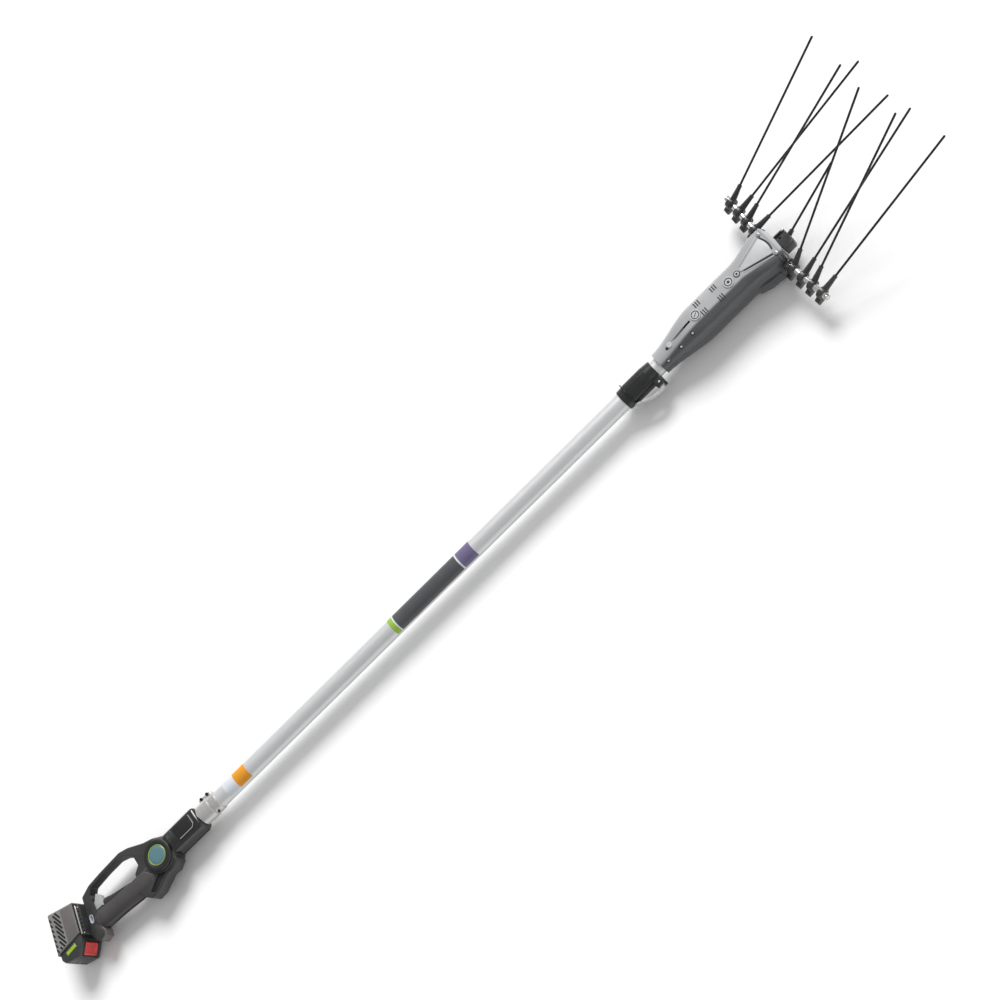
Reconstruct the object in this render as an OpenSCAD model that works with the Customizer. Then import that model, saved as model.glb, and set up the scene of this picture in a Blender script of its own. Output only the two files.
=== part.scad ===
// Electric olive harvester lying flat: X runs from the handle to the comb, Z is up.
// Lengths are in millimetres. The pole's axis is the datum of every piece.

/* [Pole] */
// Outside diameter of the lower tube
pole_d = 38; // [30:0.5:45]
// Wall of the lower tube
pole_wall = 1.5; // [1:0.1:2.5]
// Length of the lower tube
pole_len = 1320; // [900:1:1800]
// How far the lower tube sits in the handle
socket_depth = 84; // [50:1:86]
// Wall of the sliding upper tube
inner_wall = 1.5; // [1:0.1:2.5]
// Length of the sliding upper tube
inner_len = 950; // [700:1:1200]
// Radial play between the tubes
slide_clear = 0.08; // [0.02:0.01:0.1]
// Tube left showing between the collar and the head
neck_gap = 14; // [8:0.5:20]

/* [Collar] */
// Length of the collar at the lower tube's upper end
collar_len = 85; // [70:1:130]
// Diameter of the collar at its middle
collar_d = 46.5; // [46:0.5:56]
// Diameter of the collar at its ends
collar_end_d = 43.5; // [43:0.5:46]
// Length of the collar that grips the lower tube
collar_grip = 53; // [40:1:66]
// Length of the quick release lever
lever_len = 64; // [50:1:70]
// Thickness of the quick release lever
lever_t = 4; // [3:0.5:5]
// Width of the quick release lever
lever_w = 12; // [10:1:20]
// Diameter of the lever's pin
lever_pin_d = 5; // [4:0.5:6]

/* [Clamp] */
// Length of the aluminium pole clamp
clamp_len = 46; // [30:1:60]
// Outside diameter of the pole clamp
clamp_d = 45; // [43:0.5:50]
// Diameter of the clamp bolts
clamp_bolt_d = 5; // [4:0.5:6]

/* [Handle] */
// Length of the handle from the clamp to the battery dock
handle_len = 346; // [320:1:380]
// Reach of the hand loop to the side of the pole axis
handle_w = 70; // [66:0.5:78]
// Thickness of the loop
loop_t = 27; // [24:0.5:32]
// Width of the control box
box_w = 49; // [47:0.5:56]
// Height of the control box
box_h = 45; // [43:0.5:50]
// Radius of the round badge cap
badge_r = 33; // [28:0.5:36]
// Height of the badge cap's face over the pole axis
badge_top = 29; // [28.5:0.5:34]
// Diameter of the grip
grip_d = 37; // [33:0.5:40]
// Depth of the paddle trigger
trigger_depth = 13; // [10:0.5:15]
// Width of the paddle trigger
trigger_w = 17; // [12:0.5:20]
// Diameter of the trigger's pin
trigger_pin_d = 4; // [3:0.5:5]

/* [Battery] */
// Length of the battery along its rails
battery_len = 106; // [106:1:118]
// Thickness of the battery from dock to outer face
battery_t = 60; // [60:1:66]
// Width of the battery
battery_w = 70; // [70:1:76]
// Turn of the dock from square to the pole
dock_turn = 16; // [8:1:20]
// Wall of the vented guard
guard_wall = 3; // [2:0.5:4]
// Vent slots in one column
vent_count = 7; // [4:1:7]
// Travel of the red release button
release_travel = 4; // [2:0.5:5]

/* [Head] */
// Length of the head from its neck to the front cap
head_len = 305; // [290:1:330]
// Half width of the neck
neck_half_w = 22; // [21:0.5:25]
// Height of the neck over the pole axis
neck_top = 27; // [25:0.5:30]
// Depth of the neck under the pole axis
neck_bottom = 22; // [21:0.5:26]
// Half width of the motor housing
mid_half_w = 33; // [31:0.5:38]
// Height of the head's top over the pole axis
head_top = 44; // [42:0.5:50]
// Half width of the head's front
front_half_w = 42; // [40:0.5:46]
// Wall of the head's shells
head_wall = 3; // [2:0.5:4]
// Thickness of the front cap
cap_t = 10.6; // [10.6:0.1:14]
// Diameter of the motor
motor_d = 44; // [36:0.5:46]
// Length of the motor
motor_len = 70; // [50:1:76]

/* [Comb] */
// Height of the comb bar over the pole axis
bar_z = 10; // [6:0.5:14]
// Diameter of the comb bar
bar_d = 14; // [12:0.5:16]
// Distance of the comb bar behind the shells' front edge
bar_back = 3.5; // [3:0.5:10]
// Half length of the comb bar
bar_half = 146; // [140:1:160]
// Forward sweep of each half of the bar
bar_sweep = 4; // [0:0.5:6]
// Place of the first holder from the middle
holder_first = 58; // [56:0.5:62]
// Distance from holder to holder
holder_pitch = 26; // [24:0.5:28]
// Diameter of a tine
tine_d = 4.5; // [4:0.5:6]
// Length of a tine out of its sleeve
tine_len = 324; // [250:1:400]
// Length of a holder's sleeve from the bar axis
sleeve_len = 42; // [36:1:50]
// Rise of the higher tines
tine_high_angle = 33; // [26:1:36]
// Rise of the lower tines
tine_low_angle = 22; // [14:1:24]
// Outward turn of the tines of one side, from the innermost on
tine_turn_angles = [-12, -3.5, -5, 2.5]; // [-14:0.5:6]
// Length of the short centre tine
centre_tine_len = 156; // [120:1:200]

/* [Drive] */
// Offset of the crank pin
crank_r = 8.5; // [6:0.25:9]
// Distance of the crank pin behind the comb bar
yoke_reach = 40; // [38:0.5:44]
// Diameter of the crank pin
crank_pin_d = 7; // [5:0.5:8]
// Radius of the crank gear over its teeth
gear_r = 15; // [13:0.5:16]
// Radius of the motor pinion over its teeth
pinion_r = 5; // [4:0.5:6]
// Teeth on the pinion
pinion_teeth = 8; // [6:1:10]
// Crank gear teeth for one pinion tooth
gear_ratio = 3; // [2:1:4]

/* [Hidden] */
$fn = 64;

// Gaps and overruns
cut = 1;
seat_gap = 0.15;
move_gap = 0.5;
run_clear = 0.05;

// Heights and places along the pole, from the control box's front face
axis_z = battery_w / 2 + move_gap + guard_wall;
pole_start = -socket_depth;
pole_end = pole_start + pole_len;
collar_x = pole_end - collar_grip;
head_x = collar_x + collar_len + neck_gap;
bar_x = head_x + head_len - bar_back;
inner_d = pole_d - 2 * pole_wall - 2 * slide_clear;
neck_hold = 66;
inner_end = head_x + neck_hold;

// Place of holder number i, from 0 to 3, on one half of the bar past its bend
bend_y = holder_first - holder_pitch / 2 + cut;
function holder_along(i) = holder_first - bend_y + i * holder_pitch;

// Dock and battery places, in the dock's own frame: X to the handle, Y along the rails
dock_t = 12;
rail_gap = 0.6;
battery_top = -rail_gap;
battery_back = battery_top - battery_t;
battery_front_share = 0.53;
battery_front = -battery_front_share * battery_len;
guard_back = battery_back - move_gap - guard_wall;
guard_cover_share = 0.34;
guard_front = -guard_cover_share * battery_len;
function dock_x(lx, ly) = -handle_len + lx * cos(dock_turn) + ly * sin(dock_turn);

// Box of the whole tool, for its origin
outer_holder = 3;
function lean(i) = tine_turn_angles[i];
rear_x = min(dock_x(guard_back, guard_front), dock_x(battery_back, battery_front));
tip_x = bar_x + holder_along(outer_holder) * sin(bar_sweep) + tine_d / 2
    + (sleeve_len + tine_len - tine_d / 2) * cos(tine_low_angle) * cos(lean(outer_holder));
x_shift = -(rear_x + tip_x) / 2;

module placed() translate([x_shift, 0, axis_z]) children();
module at_dock() translate([-handle_len, 0, 0]) rotate([0, 0, -dock_turn]) children();
module along_x(x) translate([x, 0, 0]) rotate([0, 90, 0]) children();
module tube(d, wall, len) {
    difference() {
        cylinder(d = d, h = len);
        translate([0, 0, -cut]) cylinder(d = d - 2 * wall, h = len + 2 * cut);
    }
}
module block(size) translate([-size[0] / 2, -size[1] / 2, -size[2] / 2]) cube(size);

// Handle

// Outline of the loop and body, in shares of the handle's length and width
loop_shares = [[0.266, 0.35], [0.347, 0.571], [0.405, 0.657], [0.509, 0.914], [0.572, 1], [0.74, 0.971],
    [0.847, 0.929], [0.919, 0.8], [0.955, 0.63], [0.985, -0.28], [0.962, -0.714], [0.9075, -0.786],
    [0.889, -0.657], [0.899, -0.514], [0.772, -0.443], [0.595, -0.6],
    [0.543, -0.786], [0.509, -0.814], [0.367, -0.657], [0.283, -0.514], [0.266, -0.35]];
// Outline of the hand's opening
hole_shares = [[0.512, 0.557], [0.564, 0.771], [0.627, 0.829], [0.746, 0.8], [0.824, 0.757], [0.86, 0.571],
    [0.887, 0.15], [0.708, 0.13], [0.572, 0.02], [0.512, 0.243]];
function handle_points(shares) = [for (s = shares) [-s[0] * handle_len, s[1] * handle_w]];

box_len_share = 0.2775;
box_len = box_len_share * handle_len;
grip_x_share = 0.565;
grip_y_share = 0.27;
grip_front = [-grip_x_share * handle_len, -grip_y_share * handle_w, 0];
grip_tilt_share = 0.08;
grip_tilt = atan(grip_tilt_share);
grip_len_share = 0.355;
grip_len = grip_len_share * handle_len;
badge_x_share = 0.35;
badge_x = -badge_x_share * handle_len;
badge_y_share = 0.06;
badge_y = -badge_y_share * handle_w;
badge_boss_t = 48;
badge_seat_t = 3;
shell_wall = 3;
strap_slot = [9, 18];
strap_x_share = 0.935;
strap_y_share = 0.05;

module at_grip() translate(grip_front) rotate([0, 0, -grip_tilt]) rotate([0, -90, 0]) children();

// Trigger frame: origin at the pivot, -X along the paddle
trigger_x_share = 0.572;
trigger_y_share = 0.1;
trigger_pivot = [-trigger_x_share * handle_len, -trigger_y_share * handle_w, 0];
trigger_len_share = 0.2543;
trigger_len = trigger_len_share * handle_len;
trigger_slope = 7;
trigger_pull = 6;
barrel_d = trigger_pin_d + 2 * shell_wall;
module at_trigger() translate(trigger_pivot) rotate([0, 0, -trigger_slope]) children();
slot_w = trigger_w + 2 * move_gap;
slot_depth = trigger_depth + trigger_len * sin(trigger_pull) + move_gap;

module loop_plate() {
    translate([0, 0, -loop_t / 2]) linear_extrude(loop_t) difference() {
        polygon(handle_points(loop_shares));
        polygon(handle_points(hole_shares));
    }
}

module trigger_room() {
    at_trigger() {
        translate([-trigger_len - 2 * move_gap, trigger_depth / 2 - slot_depth, -slot_w / 2])
            cube([trigger_len + barrel_d / 2 + 3 * move_gap, slot_depth + trigger_depth, slot_w]);
        translate([0, 0, -slot_w / 2]) cylinder(d = barrel_d + 2 * move_gap, h = slot_w);
        cylinder(d = trigger_pin_d + 2 * seat_gap, h = pin_len, center = true);
    }
}
pin_grip = 5;
pin_len = trigger_w + 2 * pin_grip;

board_size = [46, 34, 12];
board_x = pole_start - shell_wall - board_size[0] / 2;
module board_room() {
    translate([board_x, badge_y, 0])
        block([for (s = board_size) s + 2 * move_gap]);
}

module handle_solid() {
    difference() {
        union() {
            translate([-box_len, -box_w / 2, -box_h / 2]) cube([box_len, box_w, box_h]);
            translate([badge_x, badge_y, -badge_boss_t / 2])
                cylinder(r = badge_r + shell_wall, h = badge_boss_t);
            loop_plate();
            at_grip() cylinder(d = grip_d, h = grip_len);
        }
        along_x(pole_start - seat_gap) cylinder(d = pole_d + 2 * seat_gap, h = socket_depth + cut + seat_gap);
        trigger_room();
        board_room();
        switch_room();
        translate([badge_x, badge_y, badge_boss_t / 2 - badge_seat_t])
            cylinder(r = badge_r + seat_gap, h = badge_seat_t + cut);
        grip_sleeve(seat_gap, 0);
        translate([-strap_x_share * handle_len, strap_y_share * handle_w, -box_h]) rotate([0, 0, -dock_turn])
            strap_oval(2 * box_h);
        at_dock() translate([-dock_t, -battery_len, -battery_w])
            cube([2 * dock_t + seat_gap, 2 * battery_len, 2 * battery_w]);
        switch_button_room();
        box_cover_room();
    }
}
module strap_oval(h) {
    for (side = [-1, 1])
        translate([0, side * (strap_slot[1] - strap_slot[0]) / 2, 0]) cylinder(d = strap_slot[0], h = h);
    translate([-strap_slot[0] / 2, -(strap_slot[1] - strap_slot[0]) / 2, 0])
        cube([strap_slot[0], strap_slot[1] - strap_slot[0], h]);
}
module half_space(up) {
    big = 2 * handle_len;
    translate([-big, -big / 2, up ? seat_gap / 2 : -big - seat_gap / 2]) cube([2 * big, big, big]);
}
module handle_upper_shell() {
    color("#3a3a3c") placed() intersection() {
        handle_solid();
        half_space(true);
    }
}
module handle_lower_shell() {
    color("#353537") placed() intersection() {
        handle_solid();
        half_space(false);
    }
}

// Soft sleeve round the grip, open where the trigger stands
cover_rise = 1.5;
cover_sink = 2;
cover_start_share = 0.2;
cover_len_share = 0.62;
module grip_sleeve(grow, open) {
    difference() {
        at_grip() translate([0, 0, grip_len * cover_start_share - grow])
            tube(grip_d + 2 * cover_rise + 2 * grow, cover_rise + cover_sink + 2 * grow,
                grip_len * cover_len_share + 2 * grow);
        at_trigger() translate([-trigger_len - trigger_depth, -trigger_depth / 2 - open,
            -slot_w / 2 - shell_wall - open])
            cube([trigger_len + 2 * trigger_depth, 2 * grip_d, slot_w + 2 * shell_wall + 2 * open]);
    }
}
module grip_cover() {
    color("#4a4648") placed() difference() {
        grip_sleeve(0, seat_gap);
        trigger_room();
        switch_room();
    }
}

module badge_cap() {
    color("#2b2b2d") placed() translate([badge_x, badge_y, badge_boss_t / 2 - badge_seat_t + seat_gap])
        difference() {
            cylinder(r = badge_r, h = badge_top - badge_boss_t / 2 + badge_seat_t - seat_gap);
            translate([0, 0, badge_top - badge_boss_t / 2 + badge_seat_t - seat_gap - disc_t])
                cylinder(r = disc_share * badge_r + seat_gap, h = disc_t + cut);
        }
}
disc_share = 0.66;
disc_t = 1.5;
module badge_ring() {
    color("#8fae3c") placed() translate([badge_x, badge_y, badge_top - disc_t + seat_gap])
        cylinder(r = disc_share * badge_r, h = disc_t - seat_gap);
}

module trigger() {
    color("#454345") placed() at_trigger() difference() {
        union() {
            translate([-trigger_len, -trigger_depth / 2, -trigger_w / 2])
                cube([trigger_len, trigger_depth, trigger_w]);
            cylinder(d = barrel_d, h = trigger_w, center = true);
            translate([-trigger_len + trigger_depth / 2, trigger_depth / 2, 0])
                cylinder(d = trigger_depth, h = trigger_w, center = true);
        }
        cylinder(d = trigger_pin_d + 2 * run_clear, h = trigger_w + 2 * cut, center = true);
        translate([0, 0, -spring_len / 2]) cylinder(d = spring_room_d, h = spring_len);
    }
}
spring_len = 8;
spring_wire = 0.8;
spring_d = trigger_pin_d + 2 * spring_wire + 2 * seat_gap;
spring_room_d = spring_d + 2 * move_gap;
module trigger_pin() {
    color("#b8babd") placed() translate(trigger_pivot)
        cylinder(d = trigger_pin_d, h = pin_len - 2 * seat_gap, center = true);
}
module trigger_spring() {
    color("#9a9ca0") placed() translate(trigger_pivot + [0, 0, -spring_len / 2 + seat_gap])
        tube(spring_d, spring_wire, spring_len - 2 * seat_gap);
}

// Micro switch in the grip, under the paddle's tail
switch_size = [24, 7, 14];
switch_share = 0.45;
module at_switch() {
    at_trigger() translate([-switch_share * trigger_len,
        trigger_depth / 2 - slot_depth - switch_size[1] / 2 - seat_gap, 0]) children();
}
module switch_room() at_switch() block([for (s = switch_size) s + 2 * seat_gap]);
module trigger_switch() {
    color("#1f1f21") placed() at_switch() block(switch_size);
}

// Light grey switch button inside the loop's rear end
button_d = 26;
button_w = 14;
button_travel = 3;
button_y = 33;
button_x_share = 0.0723;
button_x = button_x_share * handle_len;
stem_w = 12;
module at_button() at_dock() translate([dock_t + button_x, button_y, 0]) children();
module button_form(grow) {
    cylinder(d = button_d + 2 * grow, h = button_w + 2 * grow, center = true);
    translate([-button_x - grow, -stem_w / 2 - grow, -button_w / 2 - grow])
        cube([button_x + grow, stem_w + 2 * grow, button_w + 2 * grow]);
}
module switch_button_room() {
    at_button() {
        button_form(move_gap);
        translate([-button_travel, 0, 0]) button_form(move_gap);
        translate([-button_travel, -button_d / 2 - move_gap, -button_w / 2 - move_gap])
            cube([button_d + button_travel, button_d + 2 * move_gap, button_w + 2 * move_gap]);
    }
}
module switch_button() {
    color("#a9abad") placed() at_button() difference() {
        button_form(0);
        translate([-2 * button_x + button_travel + move_gap, -stem_w, -button_w])
            cube([button_x, 2 * stem_w, 2 * button_w]);
    }
}

module control_board() {
    color("#2f5d3a") placed() translate([board_x, badge_y, 0]) {
        block([board_size[0], board_size[1], board_t]);
        for (side = [-1, 1])
            translate([side * board_size[0] / 4, 0, board_size[2] / 4])
                block([chip_w, chip_w, board_size[2] / 2 - board_t / 4]);
    }
}
board_t = 1.6;
chip_w = 14;

// Raised cover on the control box
panel_rise = 1.5;
panel_sink = 1.2;
panel_inset = 6;
panel_rear = badge_x + badge_r + 2 * shell_wall;
module box_cover_form(grow, h) {
    translate([panel_rear - grow, -box_w / 2 + panel_inset - grow, 0])
        cube([-panel_rear - 2 * panel_inset + 2 * grow, box_w - 2 * panel_inset + 2 * grow, h]);
}
module box_cover_room() {
    translate([0, 0, box_h / 2 - panel_sink]) box_cover_form(seat_gap, panel_sink + cut);
}
module box_cover() {
    color("#262628") placed() translate([0, 0, box_h / 2 - panel_sink + seat_gap])
        box_cover_form(0, panel_sink + panel_rise - seat_gap);
}

// Battery dock and battery

dock_front_share = 0.17;
dock_len_share = 0.6;
dock_half_h = 33;
rail_w = 5;
rail_out = 6;
rail_half = 27;
rail_strip = 2.5;
module battery_dock() {
    color("#303032") placed() at_dock() difference() {
        translate([0, -dock_front_share * battery_len, -dock_half_h])
            cube([dock_t, dock_len_share * battery_len, 2 * dock_half_h]);
        for (side = [-1, 1])
            translate([-cut, -battery_len, side * rail_half - rail_w / 2 - rail_gap])
                cube([rail_out + cut, 2 * battery_len, rail_w + 2 * rail_gap]);
    }
}
module dock_rails() {
    color("#c9cbcd") placed() at_dock() for (side = [-1, 1])
        translate([rail_out - rail_strip, -dock_front_share * battery_len,
            side * (dock_half_h + rail_strip / 2 + seat_gap) - rail_strip / 2])
            cube([rail_strip, dock_len_share * battery_len, rail_strip]);
}

// The battery hangs in the guard, on two rails in the dock's grooves
case_wall = 2;
nose_t = 30;
nose_slope = 30;
release_size = [6.5, 27, 41];
release_proud = 2;
release_deep = 9.2;
spring_seat = 5;
foot_ribs = 6;
rib_d = 4;
module battery_block(inset) {
    translate([battery_back + inset, battery_front + inset, -battery_w / 2 + inset])
        cube([battery_t - 2 * inset, battery_len - 2 * inset, battery_w - 2 * inset]);
}
// Sloping shoulder that carries the release button
module at_nose() translate([battery_top, battery_front + nose_t, 0]) rotate([0, 0, -nose_slope]) children();
module at_release() at_nose() translate([0, -nose_t / cos(nose_slope) / 2, 0]) children();
module nose_cut(back) {
    at_nose() translate([-back, -2 * nose_t, -battery_w]) cube([battery_t, 2 * nose_t, 2 * battery_w]);
}
module release_room(grow) {
    at_release() block([2 * release_deep + 2 * grow, release_size[1] + 2 * move_gap + 2 * grow,
        release_size[2] + 2 * move_gap + 2 * grow]);
}
module battery_hollow() {
    difference() {
        battery_block(case_wall);
        nose_cut(case_wall);
        release_room(case_wall);
    }
}
rail_len = battery_front + battery_len + dock_front_share * battery_len;
module battery_case() {
    color("#3c3d40") placed() at_dock() difference() {
        union() {
            battery_block(0);
            for (side = [-1, 1])
                translate([battery_top - cut, -dock_front_share * battery_len, side * rail_half - rail_w / 2])
                    cube([rail_out - 2 * rail_gap + cut, rail_len, rail_w]);
        }
        battery_hollow();
        nose_cut(0);
        release_room(0);
        contacts_room();
        for (i = [0:foot_ribs - 1])
            translate([battery_back, battery_front, (i - (foot_ribs - 1) / 2) * battery_w / (foot_ribs + 1)])
                cylinder(d = rib_d, h = battery_w / (foot_ribs + 1) / 2, center = true);
    }
}
module release_button() {
    color("#c4262b") placed() at_dock() at_release() difference() {
        translate([-release_size[0] / 2 + release_proud, 0, 0]) block(release_size);
        translate([-release_size[0] + release_proud - cut, 0, 0]) rotate([0, 90, 0])
            cylinder(d = spring_room_d, h = spring_seat + cut);
    }
}
module release_spring() {
    color("#9a9ca0") placed() at_dock() at_release()
        translate([-release_deep + seat_gap, 0, 0]) rotate([0, 90, 0])
            tube(spring_d, spring_wire, release_deep - release_size[0] + release_proud + spring_seat
                - release_travel - move_gap);
}
cell_d = 18.3;
cell_len = 65;
cell_rows = 2;
cell_columns = 5;
cell_gap = 0.2;
cell_pitch = cell_d + cell_gap;
module battery_cells() {
    color("#3f6fae") placed() at_dock() for (r = [0:cell_rows - 1], c = [0:cell_columns - 1])
        translate([battery_back + case_wall + cell_gap + cell_pitch / 2 + r * cell_pitch,
            battery_front + battery_len - case_wall - cell_gap - cell_pitch / 2 - c * cell_pitch, 0])
            cylinder(d = cell_d, h = cell_len, center = true);
}
contact_size = [7, 18, 1.2];
contact_pitch = 9;
contact_share = 0.72;
module at_contacts() {
    translate([battery_top - contact_size[0] / 2, battery_front + battery_len * contact_share, 0]) children();
}
module contacts_room() {
    at_contacts() block([2 * contact_size[0], contact_size[1] + 2 * seat_gap, 4 * contact_pitch]);
}
module battery_contacts() {
    color("#c8a24a") placed() at_dock() at_contacts() for (i = [-1, 0, 1])
        translate([-seat_gap, 0, i * contact_pitch]) block(contact_size);
}
// Green strip along the guard's edge
guard_slant = 21;
strip_size = [27, 8, 1];
strip_x_share = 0.5;
strip_y_share = 0.2;
module battery_strip() {
    color("#9ab42f") placed() at_dock()
        translate([battery_top - strip_x_share * battery_t, battery_front + strip_y_share * battery_len,
            battery_w / 2 + strip_size[2] / 2 + seat_gap / 2])
            rotate([0, 0, guard_slant]) block(strip_size);
}

// Guard with vents in its upper wall
vent_w = 3.2;
vent_slant = -54;
vent_len_shares = [0.2, 0.55];
vent_x_shares = [0.15, 0.52];
vent_start_share = 0.14;
vent_pitch_share = 0.072;
guard_end = battery_front + battery_len + move_gap;
guard_inner_h = battery_w + 2 * move_gap;
guard_len = guard_end - guard_front + guard_wall;
module vented_guard() {
    color("#4d4e50") placed() at_dock() difference() {
        translate([guard_back, guard_front, -axis_z])
            cube([battery_top - guard_back, guard_len, guard_inner_h + 2 * guard_wall]);
        translate([guard_back + guard_wall, guard_front - cut, -guard_inner_h / 2])
            cube([battery_t + guard_len, guard_len - guard_wall + cut, guard_inner_h]);
        translate([guard_back, guard_front, 0]) rotate([0, 0, guard_slant])
            translate([-guard_len, -guard_len, -battery_w]) cube([3 * guard_len, guard_len, 2 * battery_w]);
        for (column = [0, 1], i = [0:vent_count - 1 - column])
            translate([guard_back + vent_x_shares[column] * battery_t,
                guard_end - (vent_start_share + i * vent_pitch_share) * battery_len, guard_inner_h / 2])
                rotate([0, 0, vent_slant]) block([vent_len_shares[column] * battery_t, vent_w, 3 * guard_wall]);
    }
}

// Pole, clamp and collar

clamp_lug_share = 0.7;
clamp_lug = [clamp_lug_share * clamp_len, 12, 12];
clamp_slit = 2;
bolt_head_d = 6.5;
bolt_head_t = 3;
module pole_clamp() {
    color("#c6c7c8") placed() difference() {
        union() {
            along_x(seat_gap) cylinder(d = clamp_d, h = clamp_len);
            translate([clamp_len / 2, clamp_d / 2, 0]) block(clamp_lug);
        }
        along_x(-cut) cylinder(d = pole_d + 2 * seat_gap, h = clamp_len + 3 * cut);
        translate([clamp_len / 2, clamp_d / 2, 0]) block([2 * clamp_len, clamp_d / 2, clamp_slit]);
        clamp_bolt_places() cylinder(d = clamp_bolt_d + 2 * seat_gap, h = 2 * clamp_lug[2], center = true);
    }
}
module clamp_bolt_places() {
    for (side = [-1, 1])
        translate([clamp_len / 2 + side * clamp_lug[0] / 4, clamp_d / 2 + clamp_lug[1] / 4, 0]) children();
}
module clamp_bolts() {
    color("#2d2e30") placed() clamp_bolt_places() {
        translate([0, 0, -clamp_lug[2] / 2 - bolt_head_t]) cylinder(d = clamp_bolt_d,
            h = clamp_lug[2] + bolt_head_t + seat_gap);
        translate([0, 0, clamp_lug[2] / 2 + seat_gap]) cylinder(d = bolt_head_d, h = bolt_head_t);
    }
}
module pole_tube() {
    color("#d5d6d7") placed() along_x(pole_start) tube(pole_d, pole_wall, pole_len);
}
plug_len = 16;
module pole_plug() {
    color("#2a2a2c") placed() along_x(pole_start + seat_gap) tube(pole_d - 2 * pole_wall - 2 * seat_gap,
        pole_wall + shell_wall, plug_len);
}

collar_bore = pole_d + 2 * seat_gap;
lug_len = 20;
lug_out = 12;
lug_t = 5;
flutes = 10;
flute_d = 4;
flute_start_share = 0.2;
flute_len_share = 0.6;
lever_side_share = 0.25;
lever_pivot = [collar_x + collar_len - lug_len / 2, -collar_d / 2 - lug_out / 2, 0];
module collar() {
    color("#2c2d2f") placed() difference() {
        union() {
            along_x(collar_x) rotate_extrude() polygon([[0, 0], [collar_end_d / 2, 0],
                [collar_d / 2, collar_len / 4], [collar_d / 2, collar_len - collar_len / 4],
                [collar_end_d / 2, collar_len], [0, collar_len]]);
            for (side = [-1, 1])
                translate([lever_pivot[0], -collar_d / 2, side * (lever_w / 2 + move_gap + lug_t / 2)])
                    block([lug_len, 2 * lug_out, lug_t]);
        }
        along_x(collar_x - cut) cylinder(d = collar_bore, h = collar_grip + cut + seat_gap);
        along_x(collar_x) cylinder(d = inner_d + 2 * liner_t + 4 * seat_gap, h = collar_len + cut);
        for (i = [0:flutes - 1]) if (abs(i - lever_side_share * flutes) > 1)
            rotate([i * 360 / flutes, 0, 0]) translate([collar_x + collar_len * flute_start_share, 0,
                collar_d / 2 + flute_d / 4]) rotate([0, 90, 0])
                    cylinder(d = flute_d, h = collar_len * flute_len_share);
        translate(lever_pivot) cylinder(d = lever_pin_d + 2 * seat_gap, h = collar_d, center = true);
    }
}
liner_t = 1.2;
module collar_liner() {
    color("#e3e3e0") placed() along_x(pole_end + 3 * seat_gap) difference() {
        cylinder(d = inner_d + 2 * liner_t + 2 * seat_gap, h = collar_len - collar_grip - 4 * seat_gap);
        translate([0, 0, -cut]) cylinder(d = inner_d + 2 * slide_clear, h = collar_len + 2 * cut);
    }
}

// The lever lies along the collar, with a finger gap under its tail
lever_shares = [[-0.11, -0.2], [-0.25, -0.208], [-0.39, -0.197], [-0.53, -0.164], [-0.67, -0.106],
    [-0.84, -0.031], [-1, 0.023]];
lever_lobe_shares = [[0.062, -0.125], [0.016, -0.18]];
eye_share = 0.6;
eye_d = lever_pin_d + 2 * eye_share * lever_t;
function lever_inner() = [for (i = [len(lever_shares) - 1:-1:0]) lever_len * lever_shares[i] + [0, lever_t]];
module lever() {
    color("#c3c5c8") placed() translate(lever_pivot) difference() {
        union() {
            cylinder(d = eye_d, h = lever_w, center = true);
            translate([0, 0, -lever_w / 2]) linear_extrude(lever_w)
                polygon([[eye_d / 2 - lever_t / 4, 0], each lever_len * lever_lobe_shares,
                    each lever_len * lever_shares, each lever_inner(), [0, eye_d / 2 - lever_t / 4]]);
        }
        cylinder(d = lever_pin_d + 2 * run_clear, h = lever_w + 2 * cut, center = true);
    }
}
module lever_pin() {
    color("#8d8f92") placed() translate(lever_pivot)
        cylinder(d = lever_pin_d, h = lever_w + 2 * move_gap + 2 * lug_t, center = true);
}
module inner_tube() {
    color("#dcdddd") placed() along_x(inner_end - inner_len) tube(inner_d, inner_wall, inner_len);
}
bush_len = 30;
module guide_bush() {
    color("#3a3b3d") placed() along_x(inner_end - inner_len - bush_len - seat_gap)
        tube(inner_d, inner_wall + shell_wall, bush_len);
}

// Head

head_bottom = axis_z;
mid_share = 0.36;
shoulder_share = 0.7155;
flare_share = 0.9626;
neck_round = 20;
mid_round = 22;
front_round = 10;
split_z = bar_z;
head_seam = 0.2;

// Sections along the head: share of its length, half width, top, bottom and corner radius
head_sections = [[0, neck_half_w, neck_top, neck_bottom, neck_round],
    [mid_share, mid_half_w, head_top, head_bottom, mid_round],
    [shoulder_share, mid_half_w, head_top, head_bottom, mid_round],
    [flare_share, front_half_w, head_top, head_bottom, front_round],
    [1, front_half_w, head_top, head_bottom, front_round]];
head_steps = 24;
arc_steps = 8;
function ease(t) = t * t * (3 - 2 * t);
function mix(a, b, t) = a + (b - a) * t;
function span_of(s) = len([for (k = [1:len(head_sections) - 2]) if (s >= head_sections[k][0]) k]);
function section_at(s) = let (a = head_sections[span_of(s)], b = head_sections[span_of(s) + 1],
    t = ease((s - a[0]) / (b[0] - a[0]))) [for (k = [1:4]) mix(a[k], b[k], t)];

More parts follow.
